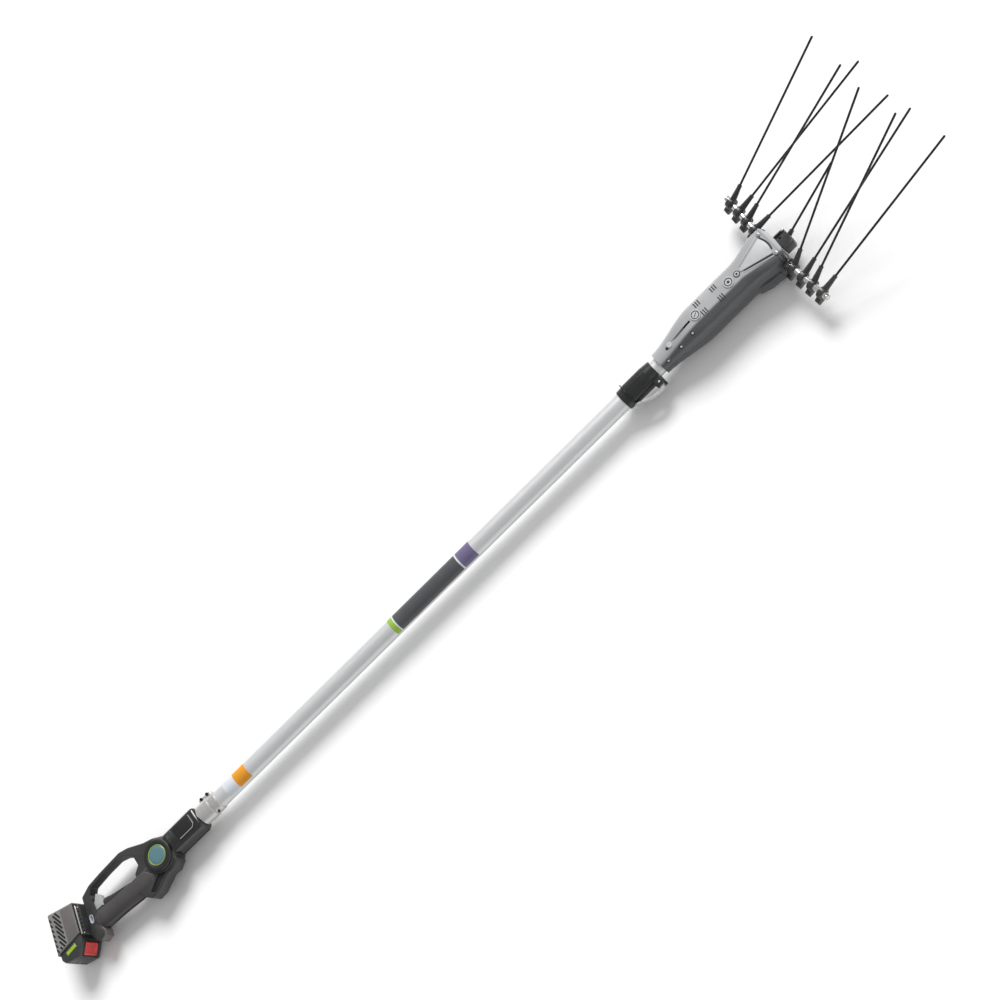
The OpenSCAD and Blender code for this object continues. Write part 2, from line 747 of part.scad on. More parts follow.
// Rounded ring of points across the head at share s
function ring(s, inset, x) = let (c = section_at(s), r = c[3] - inset, w = c[0] - inset - r,
    top = c[1] - inset - r, low = r + inset - c[2])
    [for (q = [0:3], k = [0:arc_steps]) let (turn = 90 * q + 90 * k / arc_steps)
        [x, (q == 0 || q == 3 ? w : -w) + r * cos(turn), (q < 2 ? top : low) + r * sin(turn)]];
module loft(rings) {
    n = len(rings[0]);
    last = len(rings) - 1;
    polyhedron(points = [for (ring = rings) each ring], faces = [
        each [for (i = [0:last - 1], k = [0:n - 1]) each [
            [i * n + k, (i + 1) * n + k, i * n + (k + 1) % n],
            [i * n + (k + 1) % n, (i + 1) * n + k, (i + 1) * n + (k + 1) % n]]],
        each [for (k = [1:n - 2]) [0, k, k + 1]],
        each [for (k = [1:n - 2]) [last * n, last * n + k + 1, last * n + k]]]);
}
module head_form(inset, start, overrun) {
    loft([for (j = [0:head_steps]) let (s = start + (1 - start) * j / head_steps)
        ring(s, inset, head_x + s * head_len + (j == head_steps ? overrun : 0))]);
}
bearing_d = 22;
bearing_in = 8;
bearing_len = 14;
cavity_share = 0.26;
// The bearings sit half in the shells and half in the front cap
module bearing_seats() {
    translate([bar_x, 0, bar_z]) rotate([90, 0, 0])
        cylinder(d = bearing_d + 2 * seat_gap, h = 4 * front_half_w, center = true);
}
module head_solid() {
    difference() {
        head_form(0, 0, 0);
        head_form(head_wall, cavity_share, cut);
        along_x(head_x - cut) cylinder(d = inner_d + 2 * seat_gap, h = neck_hold + cut + seat_gap);
        along_x(head_x - cut) cylinder(d = inner_d - 2 * inner_wall, h = head_len * mid_share);
        bearing_seats();
        boss_places(1);
        screw_holes();
    }
}
module head_half(up) {
    tall = 2 * head_len;
    translate([head_x - head_len, -head_len, up ? split_z + head_seam / 2 : split_z - head_seam / 2 - tall])
        cube([3 * head_len, 2 * head_len, tall]);
}
module head_upper_shell() {
    color("#8f9092") placed() intersection() {
        head_solid();
        head_half(true);
    }
}
module head_lower_shell() {
    color("#3d3e40") placed() intersection() {
        head_solid();
        head_half(false);
    }
}

// Light grey panel, widening with the head
panel_tip_share = 0.7515;
panel_front_share = 0.9832;
panel_half_w = 22;
panel_t = 1.6;
module top_panel() {
    color("#b5b6b7") placed() translate([head_x, 0, head_top + seat_gap]) linear_extrude(panel_t)
        polygon([[panel_tip_share * head_len, -panel_t], [panel_front_share * head_len, -panel_half_w],
            [panel_front_share * head_len + panel_t, 0], [panel_front_share * head_len, panel_half_w],
            [panel_tip_share * head_len, panel_t]]);
}
module front_cap() {
    color("#4c4d4f") placed() difference() {
        along_x(head_x + head_len + seat_gap) linear_extrude(cap_t) front_outline(0);
        along_x(head_x + head_len + seat_gap - cut) linear_extrude(cap_t - head_wall + cut)
            front_outline(2 * head_wall);
        along_x(head_x + head_len - cut) translate([-bar_z - bracket_z, 0, 0])
            cylinder(d = bracket_stud + 2 * seat_gap, h = cap_t + 3 * cut);
        bearing_seats();
    }
}
module front_outline(inset) {
    for (side = [-1, 1], level = [head_top - front_round, front_round - head_bottom])
        translate([-level, side * (front_half_w - front_round)]) circle(r = front_round - inset / 2);
    translate([-head_top + inset / 2, -front_half_w + front_round])
        square([head_top + head_bottom - inset, 2 * (front_half_w - front_round)]);
    translate([-head_top + front_round, -front_half_w + inset / 2])
        square([head_top + head_bottom - 2 * front_round, 2 * front_half_w - inset]);
}

// Round bosses along the top: a ringed one, a slotted one and the slider's knob
boss_share = [0.6537, 0.3706];
boss_d = 23;
boss_rise = 2;
boss_sink = 1.5;
boss_hole_d = 6;
module boss_places(room) {
    for (s = boss_share) translate([head_x + s * head_len, 0, head_top - boss_sink])
        if (room > 0) cylinder(d = boss_d + 2 * seat_gap, h = boss_sink + cut);
        else children();
}
module head_bosses() {
    color("#a0a1a3") placed() boss_places(0) translate([0, 0, seat_gap]) difference() {
        cylinder(d = boss_d, h = boss_sink + boss_rise - seat_gap);
        translate([0, 0, boss_sink]) cylinder(d = boss_hole_d, h = boss_rise + cut);
    }
}

// Screws that hold the upper shell and the panel
screw_d = 4;
screw_head_d = 8;
screw_head_t = 2.5;
screw_len = 9;
module screw_places() {
    for (side = [-1, 1])
        translate([head_x + panel_front_share * head_len,
            side * (panel_half_w + screw_head_d / 2 + cut), head_top])
            children();
}
module screw_holes() {
    screw_places() translate([0, 0, -screw_len - seat_gap]) cylinder(d = screw_d + 2 * seat_gap,
        h = screw_len + seat_gap + cut);
}
module head_screws() {
    color("#3a3b3d") placed() screw_places() {
        translate([0, 0, -screw_len]) cylinder(d = screw_d, h = screw_len + seat_gap);
        translate([0, 0, seat_gap]) cylinder(d = screw_head_d, h = screw_head_t);
    }
}

// Comb and its bearings

module along_y(y) translate([bar_x, y, bar_z]) rotate([-90, 0, 0]) children();
bearing_flange_d = 28;
bearing_flange_t = 4;
bearing_start = front_half_w - bearing_in;
module bearing(side) {
    mirror([0, side < 0 ? 1 : 0, 0]) along_y(bearing_start) difference() {
        union() {
            cylinder(d = bearing_d, h = bearing_in + seat_gap + bearing_flange_t);
            translate([0, 0, bearing_in + seat_gap]) cylinder(d = bearing_flange_d, h = bearing_flange_t);
        }
        translate([0, 0, -cut]) cylinder(d = bar_d + 2 * run_clear, h = bearing_len + 2 * cut);
    }
}
module bearing_left() {
    color("#2e2f31") placed() bearing(1);
}
module bearing_right() {
    color("#2e2f31") placed() bearing(-1);
}

// One half of the bar turns forward past its bearing
module at_bar_half(side) {
    translate([bar_x, 0, bar_z]) mirror([0, side < 0 ? 1 : 0, 0]) translate([0, bend_y, 0])
        rotate([0, 0, -bar_sweep]) children();
}
arm_step = 0.5;
arm_d = bar_d - 2 * arm_step;
bend_in = 4;
bar_end_d = 8;
bar_end_len = 6;
module comb_bar() {
    color("#c9cacb") placed() {
        translate([bar_x, -bend_y, bar_z]) rotate([-90, 0, 0]) cylinder(d = bar_d, h = 2 * bend_y);
        for (side = [-1, 1]) at_bar_half(side) translate([0, -bend_in, 0]) rotate([-90, 0, 0]) {
            cylinder(d = arm_d, h = bar_half - bend_y + bend_in);
            cylinder(d = bar_end_d, h = bar_half - bend_y + bar_end_len + bend_in);
        }
    }
}
nut_w = 13;
nut_sides = 6;
module bar_nuts() {
    color("#d2d4d6") placed() for (side = [-1, 1]) at_bar_half(side)
        translate([0, bar_half - bend_y + seat_gap, 0]) rotate([-90, 0, 0]) difference() {
            cylinder(d = nut_w, h = bar_end_len, $fn = nut_sides);
            translate([0, 0, -cut]) cylinder(d = bar_end_d + 2 * seat_gap, h = bar_end_len + 2 * cut);
        }
}

// Holder frame: at the bar, X along its tine
holder_w = 11;
holder_d = 24;
sleeve_root_d = 13;
sleeve_tip_d = 8.5;
sleeve_start = 8;
tine_start = 15;
jaw = [16, 11, 13];
jaw_drop = 12;
holder_bolt_d = 4;
module at_holder(side, i) {
    at_bar_half(side) translate([0, holder_along(i), 0]) rotate([0, 0, bar_sweep]) children();
}
function rise(side, i) = (side > 0 ? i : i + 1) % 2 == 0 ? tine_low_angle : tine_high_angle;
module at_tine(side, i) {
    at_holder(side, i) rotate([0, 0, lean(i)]) rotate([0, 90 - rise(side, i), 0]) children();
}
module holder(side, i) {
    difference() {
        union() {
            at_holder(side, i) rotate([90, 0, -bar_sweep]) cylinder(d = holder_d, h = holder_w, center = true);
            at_tine(side, i) translate([0, 0, sleeve_start])
                cylinder(d1 = sleeve_root_d, d2 = sleeve_tip_d, h = sleeve_len - sleeve_start);
            at_holder(side, i) rotate([0, 0, -bar_sweep])
                translate([-jaw[0] / 2 - bar_d / 4, 0, -jaw_drop]) block(jaw);
        }
        at_holder(side, i) rotate([90, 0, -bar_sweep])
            cylinder(d = arm_d + 2 * seat_gap, h = 2 * holder_d, center = true);
        at_tine(side, i) translate([0, 0, tine_start - seat_gap])
            cylinder(d = tine_d + 2 * seat_gap, h = sleeve_len);
        at_bolt(side, i) cylinder(d = holder_bolt_d + 2 * seat_gap, h = 2 * jaw[2], center = true);
    }
}
module at_bolt(side, i) {
    at_holder(side, i) rotate([0, 0, -bar_sweep])
        translate([-jaw[0] - bar_d / 4 + holder_bolt_d, 0, -jaw_drop]) children();
}
module holders_left() {
    color("#2b2c2e") placed() for (i = [0:outer_holder]) holder(1, i);
}
module holders_right() {
    color("#2b2c2e") placed() for (i = [0:outer_holder]) holder(-1, i);
}
module holder_bolts() {
    color("#1d1e20") placed() for (side = [-1, 1], i = [0:outer_holder]) at_bolt(side, i) {
        translate([0, 0, -jaw[2] / 2 - seat_gap]) cylinder(d = holder_bolt_d, h = jaw[2] + seat_gap);
        translate([0, 0, -jaw[2] / 2 - holder_bolt_d / 2 - seat_gap])
            cylinder(d = 2 * holder_bolt_d, h = holder_bolt_d / 2);
    }
}
module tine(side, i) {
    at_tine(side, i) translate([0, 0, tine_start]) {
        cylinder(d = tine_d, h = sleeve_len + tine_len - tine_start - tine_d / 2);
        translate([0, 0, sleeve_len + tine_len - tine_start - tine_d / 2]) sphere(d = tine_d);
    }
}
module tines_left() {
    color("#141416") placed() for (i = [0:outer_holder]) tine(1, i);
}
module tines_right() {
    color("#141416") placed() for (i = [0:outer_holder]) tine(-1, i);
}

// Short tine in the middle, on its own bracket
bracket_size = [26, 38, 24];
bracket_stud = 10;
bracket_z = -9;
centre_angle = 31;
module at_bracket() translate([head_x + head_len + cap_t + 2 * seat_gap, 0, bar_z + bracket_z]) children();
module at_centre_tine() {
    at_bracket() translate([bracket_size[0] / 2, 0, 0])
        rotate([0, 90 - centre_angle, 0]) children();
}
module centre_bracket() {
    color("#333436") placed() difference() {
        union() {
            at_bracket() translate([bracket_size[0] / 2, 0, 0]) block(bracket_size);
            along_x(head_x + head_len + seat_gap + cap_t - head_wall) translate([-bar_z - bracket_z, 0, 0])
                cylinder(d = bracket_stud, h = head_wall + cut);
            at_centre_tine() cylinder(d1 = sleeve_root_d, d2 = sleeve_tip_d, h = bracket_size[0]);
        }
        at_centre_tine() cylinder(d = tine_d + 2 * seat_gap, h = 2 * bracket_size[0]);
    }
}
module centre_tine() {
    color("#141416") placed() at_centre_tine() translate([0, 0, seat_gap]) {
        cylinder(d = tine_d, h = bracket_size[0] + centre_tine_len - tine_d / 2);
        translate([0, 0, bracket_size[0] + centre_tine_len - tine_d / 2]) sphere(d = tine_d);
    }
}

// Drive: motor, pinion, crank gear and yoke

gear_t = 8;
mesh_gap = 0.4;
tooth_share = 0.12;
pin_reach = 8;
crank_x = bar_x - yoke_reach - pin_reach - gear_t;
motor_z = bar_z - gear_r - pinion_r - mesh_gap;
plate_t = 6;
crank_shaft_d = 8;
motor_shaft_d = 4;
plate_x = crank_x - 2 * move_gap - plate_t;
motor_x = plate_x - seat_gap - motor_len;

// Toothed disc whose points follow the tooth count
function tooth_points(r, teeth) = [for (k = [0:4 * teeth - 1])
    let (outer = k % 4 < 2) (outer ? r : r * (1 - tooth_share)) * [cos(k * 90 / teeth), sin(k * 90 / teeth)]];
module rotor() {
    color("#b9bbbe") placed() translate([0, 0, motor_z]) {
        along_x(motor_x + shell_wall + move_gap) cylinder(d = motor_d - 2 * shell_wall - 2 * move_gap,
            h = motor_len - 2 * shell_wall - 2 * move_gap);
        along_x(motor_x + motor_len - shell_wall - cut) cylinder(d = motor_shaft_d,
            h = crank_x - motor_x - motor_len + shell_wall + 2 * cut);
        along_x(crank_x) linear_extrude(gear_t) polygon(tooth_points(pinion_r, pinion_teeth));
    }
}
module motor_can() {
    color("#6f7174") placed() translate([0, 0, motor_z]) difference() {
        along_x(motor_x) cylinder(d = motor_d, h = motor_len);
        along_x(motor_x + shell_wall) cylinder(d = motor_d - 2 * shell_wall, h = motor_len - 2 * shell_wall);
        along_x(motor_x + motor_len / 2) cylinder(d = motor_shaft_d + 2 * run_clear, h = motor_len);
    }
}
plate_size = [46, 56];
module gear_plate() {
    color("#9fa1a4") placed() difference() {
        along_x(plate_x) translate([-(motor_z + bar_z) / 2 - plate_drop, 0, 0])
            linear_extrude(plate_t) square([plate_size[1], plate_size[0]], center = true);
        along_x(plate_x - cut) translate([-bar_z, 0, 0]) cylinder(d = crank_shaft_d + 2 * run_clear,
            h = plate_t + 2 * cut);
        along_x(plate_x - cut) translate([-motor_z, 0, 0]) cylinder(d = motor_shaft_d + 2 * move_gap,
            h = plate_t + 2 * cut);
    }
}
plate_drop = 4;
module crank_gear() {
    color("#87898c") placed() {
        translate([0, 0, bar_z]) {
            along_x(crank_x) linear_extrude(gear_t) polygon(tooth_points(gear_r, pinion_teeth * gear_ratio));
            along_x(plate_x) cylinder(d = crank_shaft_d, h = crank_x - plate_x + cut);
            along_x(crank_x + gear_t - cut) translate([0, crank_r, 0]) cylinder(d = crank_pin_d,
                h = 2 * pin_reach + cut);
        }
    }
}
// The pin's turn and the yoke's swing keep a steady ratio, so the slot leaves the pin room
slot_room = 3.2;
yoke_block = [12, 34, 26];
yoke_arm = [12, 12];
yoke_hub_d = 20;
yoke_hub_w = 26;
module yoke() {
    color("#808286") placed() difference() {
        union() {
            along_y(-yoke_hub_w / 2) cylinder(d = yoke_hub_d, h = yoke_hub_w);
            translate([bar_x - yoke_reach, 0, bar_z]) block(yoke_block);
            translate([bar_x - yoke_reach, -yoke_arm[0] / 2, bar_z + yoke_block[2] / 2 - yoke_arm[1]])
                cube([yoke_reach, yoke_arm[0], yoke_arm[1]]);
        }
        along_y(-yoke_hub_w) cylinder(d = bar_d + 2 * seat_gap, h = 2 * yoke_hub_w);
        translate([bar_x - yoke_reach, 0, bar_z])
            block([2 * yoke_block[0], 2 * crank_r + crank_pin_d + 2 * slot_room, crank_pin_d + 2 * slot_room]);
    }
}

handle_upper_shell();
handle_lower_shell();
grip_cover();
badge_cap();
badge_ring();
trigger();
trigger_pin();
trigger_spring();
trigger_switch();
switch_button();
control_board();
box_cover();
battery_dock();
dock_rails();
vented_guard();
battery_case();
battery_cells();
battery_contacts();
battery_strip();
release_button();
release_spring();
pole_clamp();
clamp_bolts();
pole_tube();
pole_plug();
collar();
collar_liner();
lever();
lever_pin();
inner_tube();
guide_bush();
head_upper_shell();
head_lower_shell();
top_panel();
front_cap();
head_bosses();
head_screws();
bearing_left();
bearing_right();
centre_bracket();
centre_tine();
motor_can();
rotor();
gear_plate();
crank_gear();
yoke();
comb_bar();
bar_nuts();
holders_left();
holders_right();
holder_bolts();
tines_left();
tines_right();
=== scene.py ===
import math

import bpy
from mathutils import Matrix, Vector


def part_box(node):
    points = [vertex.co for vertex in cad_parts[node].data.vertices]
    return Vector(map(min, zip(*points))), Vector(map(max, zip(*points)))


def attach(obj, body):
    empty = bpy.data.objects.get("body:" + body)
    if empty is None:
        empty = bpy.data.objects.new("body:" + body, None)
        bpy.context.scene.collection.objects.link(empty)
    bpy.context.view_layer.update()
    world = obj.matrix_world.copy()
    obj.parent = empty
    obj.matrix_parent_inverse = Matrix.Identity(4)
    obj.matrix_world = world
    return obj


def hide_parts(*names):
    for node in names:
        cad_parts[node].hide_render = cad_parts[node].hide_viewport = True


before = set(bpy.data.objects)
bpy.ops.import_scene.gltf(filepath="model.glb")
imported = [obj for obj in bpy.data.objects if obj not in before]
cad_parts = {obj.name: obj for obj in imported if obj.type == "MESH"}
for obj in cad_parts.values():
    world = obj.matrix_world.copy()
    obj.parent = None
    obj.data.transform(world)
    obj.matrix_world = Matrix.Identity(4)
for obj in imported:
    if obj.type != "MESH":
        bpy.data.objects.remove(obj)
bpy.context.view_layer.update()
mm = 0.001

# Places along the tool in millimetres, measured from the control box's front face on the pole's axis
tool = {"poleStart": -84, "poleR": 19, "handleLen": 346, "handleW": 70, "dockTurn": 16, "headX": 1282,
        "headLen": 305, "barBack": 3.5, "barZ": 10, "bendY": 46, "barSweep": 4}
poleLow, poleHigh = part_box("pole_tube")
shiftX = poleLow[0] / mm - tool["poleStart"]
axisZ = (poleLow[2] + poleHigh[2]) / 2 / mm
poleFrame = Matrix.Translation((shiftX * mm, 0, axisZ * mm)) @ Matrix.Scale(mm, 4)


def turned(axis, degrees):
    return Matrix.Rotation(math.radians(degrees), 4, axis)


def moved(x, y, z=0):
    return Matrix.Translation((x, y, z))


dockFrame = poleFrame @ moved(-tool["handleLen"], 0) @ turned("Z", -tool["dockTurn"])
headFrame = poleFrame @ moved(tool["headX"], 0)
barX = tool["headX"] + tool["headLen"] - tool["barBack"]
barFrame = poleFrame @ moved(barX, 0, tool["barZ"])
print("frame loaded, pole axis at", round(axisZ, 2), "mm")


# Materials

def srgb(hexText):
    parts = [int(hexText[i:i + 2], 16) / 255 for i in (1, 3, 5)]
    return tuple(p / 12.92 if p <= 0.04045 else ((p + 0.055) / 1.055) ** 2.4 for p in parts) + (1.0,)


def shade(hexText, share):
    return tuple(min(1, c * share) for c in srgb(hexText)[:3]) + (1.0,)


def addNode(tree, kind, inputs=None, links=None, **settings):
    node = tree.nodes.new(kind)
    for name, value in settings.items():
        setattr(node, name, value)
    for name, value in (inputs or {}).items():
        node.inputs[name].default_value = value
    for name, source in (links or {}).items():
        tree.links.new(source, node.inputs[name])
    return node


def newMaterial(name):
    mat = bpy.data.materials.new(name)
    mat.use_nodes = True
    tree = mat.node_tree
    return mat, tree, tree.nodes["Principled BSDF"]


# Fine grain gives the bump, wide patches change the colour and the gloss a little
def mouldedPlastic(name, colour, rough, grainMm=0.9, grainDepth=0.05, patchMm=35, spread=0.07, coat=0.0):
    mat, tree, surface = newMaterial(name)
    place = addNode(tree, "ShaderNodeTexCoord").outputs["Object"]
    grain = addNode(tree, "ShaderNodeTexNoise", {"Scale": 1 / (grainMm * mm), "Detail": 3.0}, {"Vector": place})
    patch = addNode(tree, "ShaderNodeTexNoise", {"Scale": 1 / (patchMm * mm), "Detail": 4.0}, {"Vector": place})
    tint = addNode(tree, "ShaderNodeValToRGB", None, {"Fac": patch.outputs["Fac"]})
    tint.color_ramp.elements[0].position = 0.3
    tint.color_ramp.elements[0].color = shade(colour, 1 - spread)
    tint.color_ramp.elements[1].position = 0.7
    tint.color_ramp.elements[1].color = shade(colour, 1 + spread)
    gloss = addNode(tree, "ShaderNodeMapRange", {"From Min": 0.3, "From Max": 0.7, "To Min": rough - 0.05,
                                                 "To Max": rough + 0.05}, {"Value": patch.outputs["Fac"]})
    bump = addNode(tree, "ShaderNodeBump", {"Strength": 0.5, "Distance": grainDepth * mm},
                   {"Height": grain.outputs["Fac"]})
    tree.links.new(tint.outputs["Color"], surface.inputs["Base Color"])
    tree.links.new(gloss.outputs["Result"], surface.inputs["Roughness"])
    tree.links.new(bump.outputs["Normal"], surface.inputs["Normal"])
    surface.inputs["Coat Weight"].default_value = coat
    return mat


# Paints shade on a head material's flanks: darker away from its middle, along a border that widens towards the front
def paintFlankShade(mat, colour, border, width, startX, endX):
    tree = mat.node_tree
    surface = tree.nodes["Principled BSDF"]
    tint = surface.inputs["Base Color"].links[0].from_socket
    place = addNode(tree, "ShaderNodeTexCoord").outputs["Object"]
    parts = addNode(tree, "ShaderNodeSeparateXYZ", None, {"Vector": place})
    aside = addNode(tree, "ShaderNodeMath", None, None, operation="SUBTRACT")
    tree.links.new(parts.outputs["Y"], aside.inputs[0])
    aside.inputs[1].default_value = 8 * mm
    across = addNode(tree, "ShaderNodeMath", None, None, operation="ABSOLUTE")
    tree.links.new(aside.outputs["Value"], across.inputs[0])
    edge = addNode(tree, "ShaderNodeMapRange", {"From Min": startX * mm, "From Max": endX * mm, "To Min": border[0] * mm,
                                                "To Max": border[1] * mm}, {"Value": parts.outputs["X"]})
    past = addNode(tree, "ShaderNodeMath", None, None, operation="SUBTRACT")
    tree.links.new(across.outputs["Value"], past.inputs[0])
    tree.links.new(edge.outputs["Result"], past.inputs[1])
    share = addNode(tree, "ShaderNodeMapRange", {"From Min": 0.0, "From Max": width * mm}, {"Value": past.outputs["Value"]})
    blend = addNode(tree, "ShaderNodeMix", None, None, data_type="RGBA")
    tree.links.new(share.outputs["Result"], blend.inputs[0])
    tree.links.new(tint, blend.inputs[6])
    blend.inputs[7].default_value = srgb(colour)
    tree.links.new(blend.outputs[2], surface.inputs["Base Color"])


# Drawn or turned metal: the scratches are long along one axis
def brushedMetal(name, colour, rough, stretch=(40, 1, 1), lineMm=0.6, depth=0.01, spread=0.05, metal=1.0):
    mat, tree, surface = newMaterial(name)
    place = addNode(tree, "ShaderNodeTexCoord").outputs["Object"]
    lines = addNode(tree, "ShaderNodeMapping", {"Scale": tuple(1 / s for s in stretch)}, {"Vector": place})
    scratch = addNode(tree, "ShaderNodeTexNoise", {"Scale": 1 / (lineMm * mm), "Detail": 4.0},
                      {"Vector": lines.outputs["Vector"]})
    tint = addNode(tree, "ShaderNodeValToRGB", None, {"Fac": scratch.outputs["Fac"]})
    tint.color_ramp.elements[0].position = 0.3
    tint.color_ramp.elements[0].color = shade(colour, 1 - spread)
    tint.color_ramp.elements[1].position = 0.7
    tint.color_ramp.elements[1].color = shade(colour, 1 + spread)
    gloss = addNode(tree, "ShaderNodeMapRange", {"From Min": 0.3, "From Max": 0.7, "To Min": rough - 0.06,
                                                 "To Max": rough + 0.06}, {"Value": scratch.outputs["Fac"]})
    bump = addNode(tree, "ShaderNodeBump", {"Strength": 0.4, "Distance": depth * mm},
                   {"Height": scratch.outputs["Fac"]})
    tree.links.new(tint.outputs["Color"], surface.inputs["Base Color"])
    tree.links.new(gloss.outputs["Result"], surface.inputs["Roughness"])
    tree.links.new(bump.outputs["Normal"], surface.inputs["Normal"])
    surface.inputs["Metallic"].default_value = metal
    return mat


handlePlastic = mouldedPlastic("handleCharcoalPlastic", "#323233", 0.36)  # glass-filled nylon of the shells
softGrip = mouldedPlastic("gripSoftRubber", "#413d3e", 0.55, 0.7, 0.09)  # brownish overmoulded rubber
glossBlack = mouldedPlastic("boxGlossBlackPlastic", "#1c1c1d", 0.2, 1.5, 0.01, 50, 0.05, 0.4)  # polished cover
channelBlack = mouldedPlastic("recessBlackPlastic", "#0d0d0e", 0.5)  # deep grooves and vents
ringBlack = mouldedPlastic("badgeRingBlackPlastic", "#1b1b1c", 0.4)  # thick ring round the badge
badgeTeal = mouldedPlastic("badgeTealEnamel", "#4f757d", 0.5, 2.0, 0.01, 30, 0.05, 0.3)  # printed disc
limePaint = mouldedPlastic("limeGreenPlastic", "#94b033", 0.35, 1.2, 0.02, 20, 0.08)  # battery strip
redGloss = mouldedPlastic("redGlossPlastic", "#d8332f", 0.25, 1.2, 0.01, 15, 0.06, 0.5)  # release button
lightGrey = mouldedPlastic("lightGreyPlastic", "#a6a7a8", 0.4)  # thumb switch
footGrey = mouldedPlastic("footWarmGreyPlastic", "#64605f", 0.42)  # paler end of the battery lip
guardGrey = mouldedPlastic("guardGreyPlastic", "#7c7b79", 0.42)  # vented guard
batteryGrey = mouldedPlastic("batteryDarkGreyPlastic", "#343536", 0.4)  # battery case
headGrey = mouldedPlastic("headGreyPlastic", "#a6a7a9", 0.3, 1.1, 0.03, 60)  # upper shell of the head
headDark = mouldedPlastic("headDarkPlastic", "#4c4d4f", 0.3, 1.1, 0.03, 60)  # lower shell of the head
panelGrey = mouldedPlastic("panelPaleGreyPlastic", "#b7b8b9", 0.36)  # triangular cover on the head
holderBlack = mouldedPlastic("holderBlackNylon", "#38383a", 0.3)  # tine holders and bearing blocks
collarBlack = mouldedPlastic("collarBlackPlastic", "#212223", 0.3, 1.0, 0.03)  # pole collar
tineBlack = mouldedPlastic("tineBlackCarbon", "#0f0f10", 0.36, 0.5, 0.04)  # carbon rods
boardGreen = mouldedPlastic("circuitBoardGreen", "#2f5d3a", 0.5)  # board inside the handle
cellBlue = mouldedPlastic("cellBlueSleeve", "#3f6fae", 0.4)  # cells inside the battery
poleSilver = brushedMetal("poleAnodisedAluminium", "#d9dadb", 0.42, metal=0.55)  # drawn tube
castSilver = brushedMetal("clampCastAluminium", "#cdccca", 0.34, (3, 3, 3), 1.2, 0.02, metal=0.7)  # turned clamp
brightSteel = brushedMetal("barPolishedSteel", "#dcdbd6", 0.2, (1, 30, 1), 0.5)  # comb bar and nuts
darkSteel = brushedMetal("boltBlackenedSteel", "#3a3a3c", 0.4, (2, 2, 2), 0.6)  # screws and bolts
gearSteel = brushedMetal("gearSteel", "#9fa0a3", 0.35, (4, 4, 4), 0.8)  # drive inside the head
brass = brushedMetal("contactBrass", "#c8a24a", 0.3)  # battery contacts
whiteVinyl = mouldedPlastic("stickerWhiteVinyl", "#d4d8de", 0.4, 1.0, 0.01)  # plain labels on the pole
orangeVinyl = mouldedPlastic("stickerOrangeVinyl", "#e0951c", 0.4, 1.0, 0.01)
greyVinyl = mouldedPlastic("labelDarkGreyVinyl", "#4c4d50", 0.35, 1.0, 0.01)
greenVinyl = mouldedPlastic("labelGreenVinyl", "#8fb43a", 0.35, 1.0, 0.01)
violetVinyl = mouldedPlastic("labelVioletVinyl", "#6d6487", 0.35, 1.0, 0.01)
# Painted shade: the head's flanks are darkened in colour, as the light falls off them, while the top stays pale
paintFlankShade(headGrey, "#525355", (19, 34), 5, tool["headX"] + shiftX + 225, tool["headX"] + shiftX + 300)
print("materials made")


# Modelling helpers. Pieces are modelled in millimetres in a local frame and placed at the end

def deselectAll():
    if bpy.context.mode != "OBJECT":
        bpy.ops.object.mode_set(mode="OBJECT")
    bpy.ops.object.select_all(action="DESELECT")


def activate(obj):
    deselectAll()
    obj.select_set(True)
    bpy.context.view_layer.objects.active = obj


def named(name):
    obj = bpy.context.object
    obj.name = name
    obj.data.name = name
    bpy.ops.object.transform_apply(location=True, rotation=True, scale=True)
    return obj


def addBlock(name, low, high):
    deselectAll()
    bpy.ops.mesh.primitive_cube_add(size=1, location=[(a + b) / 2 for a, b in zip(low, high)])
    bpy.context.object.scale = [b - a for a, b in zip(low, high)]
    return named(name)


def addRod(name, start, end, r, endR=None, sides=48):
    a, b = Vector(start), Vector(end)
    deselectAll()
    bpy.ops.mesh.primitive_cone_add(vertices=sides, radius1=r, radius2=r if endR is None else endR,
                                    depth=(b - a).length, location=(a + b) / 2,
                                    rotation=(b - a).to_track_quat("Z", "Y").to_euler())
    return named(name)


def addMesh(name, points, faces):
    mesh = bpy.data.meshes.new(name)
    mesh.from_pydata([tuple(p) for p in points], [], faces)
    obj = bpy.data.objects.new(name, mesh)
    bpy.context.collection.objects.link(obj)
    activate(obj)
    return obj


# Flat outline in XY, extruded from low to high
def addPlate(name, outline, low, high):
    obj = addMesh(name, [(x, y, low) for x, y in outline], [list(range(len(outline)))])
    bpy.ops.object.mode_set(mode="EDIT")
    bpy.ops.mesh.select_all(action="SELECT")
    bpy.ops.mesh.extrude_region_move(TRANSFORM_OT_translate={"value": (0, 0, high - low)})
    bpy.ops.mesh.select_all(action="SELECT")
    bpy.ops.mesh.normals_make_consistent(inside=False)
    bpy.ops.object.mode_set(mode="OBJECT")
    return obj


# Profile of (radius, height) points turned round the Z axis; a closed profile makes a ring
def addTurned(name, profile, steps=64, closed=False):
    points = [(r, 0, h) for r, h in profile]
    edges = [(i, i + 1) for i in range(len(points) - 1)]
    if closed:
        edges.append((len(points) - 1, 0))
    mesh = bpy.data.meshes.new(name)
    mesh.from_pydata(points, edges, [])
    obj = bpy.data.objects.new(name, mesh)
    bpy.context.collection.objects.link(obj)
    activate(obj)
    bpy.ops.object.mode_set(mode="EDIT")
    bpy.ops.mesh.select_all(action="SELECT")
    bpy.ops.mesh.spin(steps=steps, angle=math.tau, center=(0, 0, 0), axis=(0, 0, 1))
    bpy.ops.mesh.select_all(action="SELECT")
    bpy.ops.mesh.remove_doubles(threshold=0.001)
    bpy.ops.mesh.normals_make_consistent(inside=False)
    bpy.ops.object.mode_set(mode="OBJECT")
    return obj


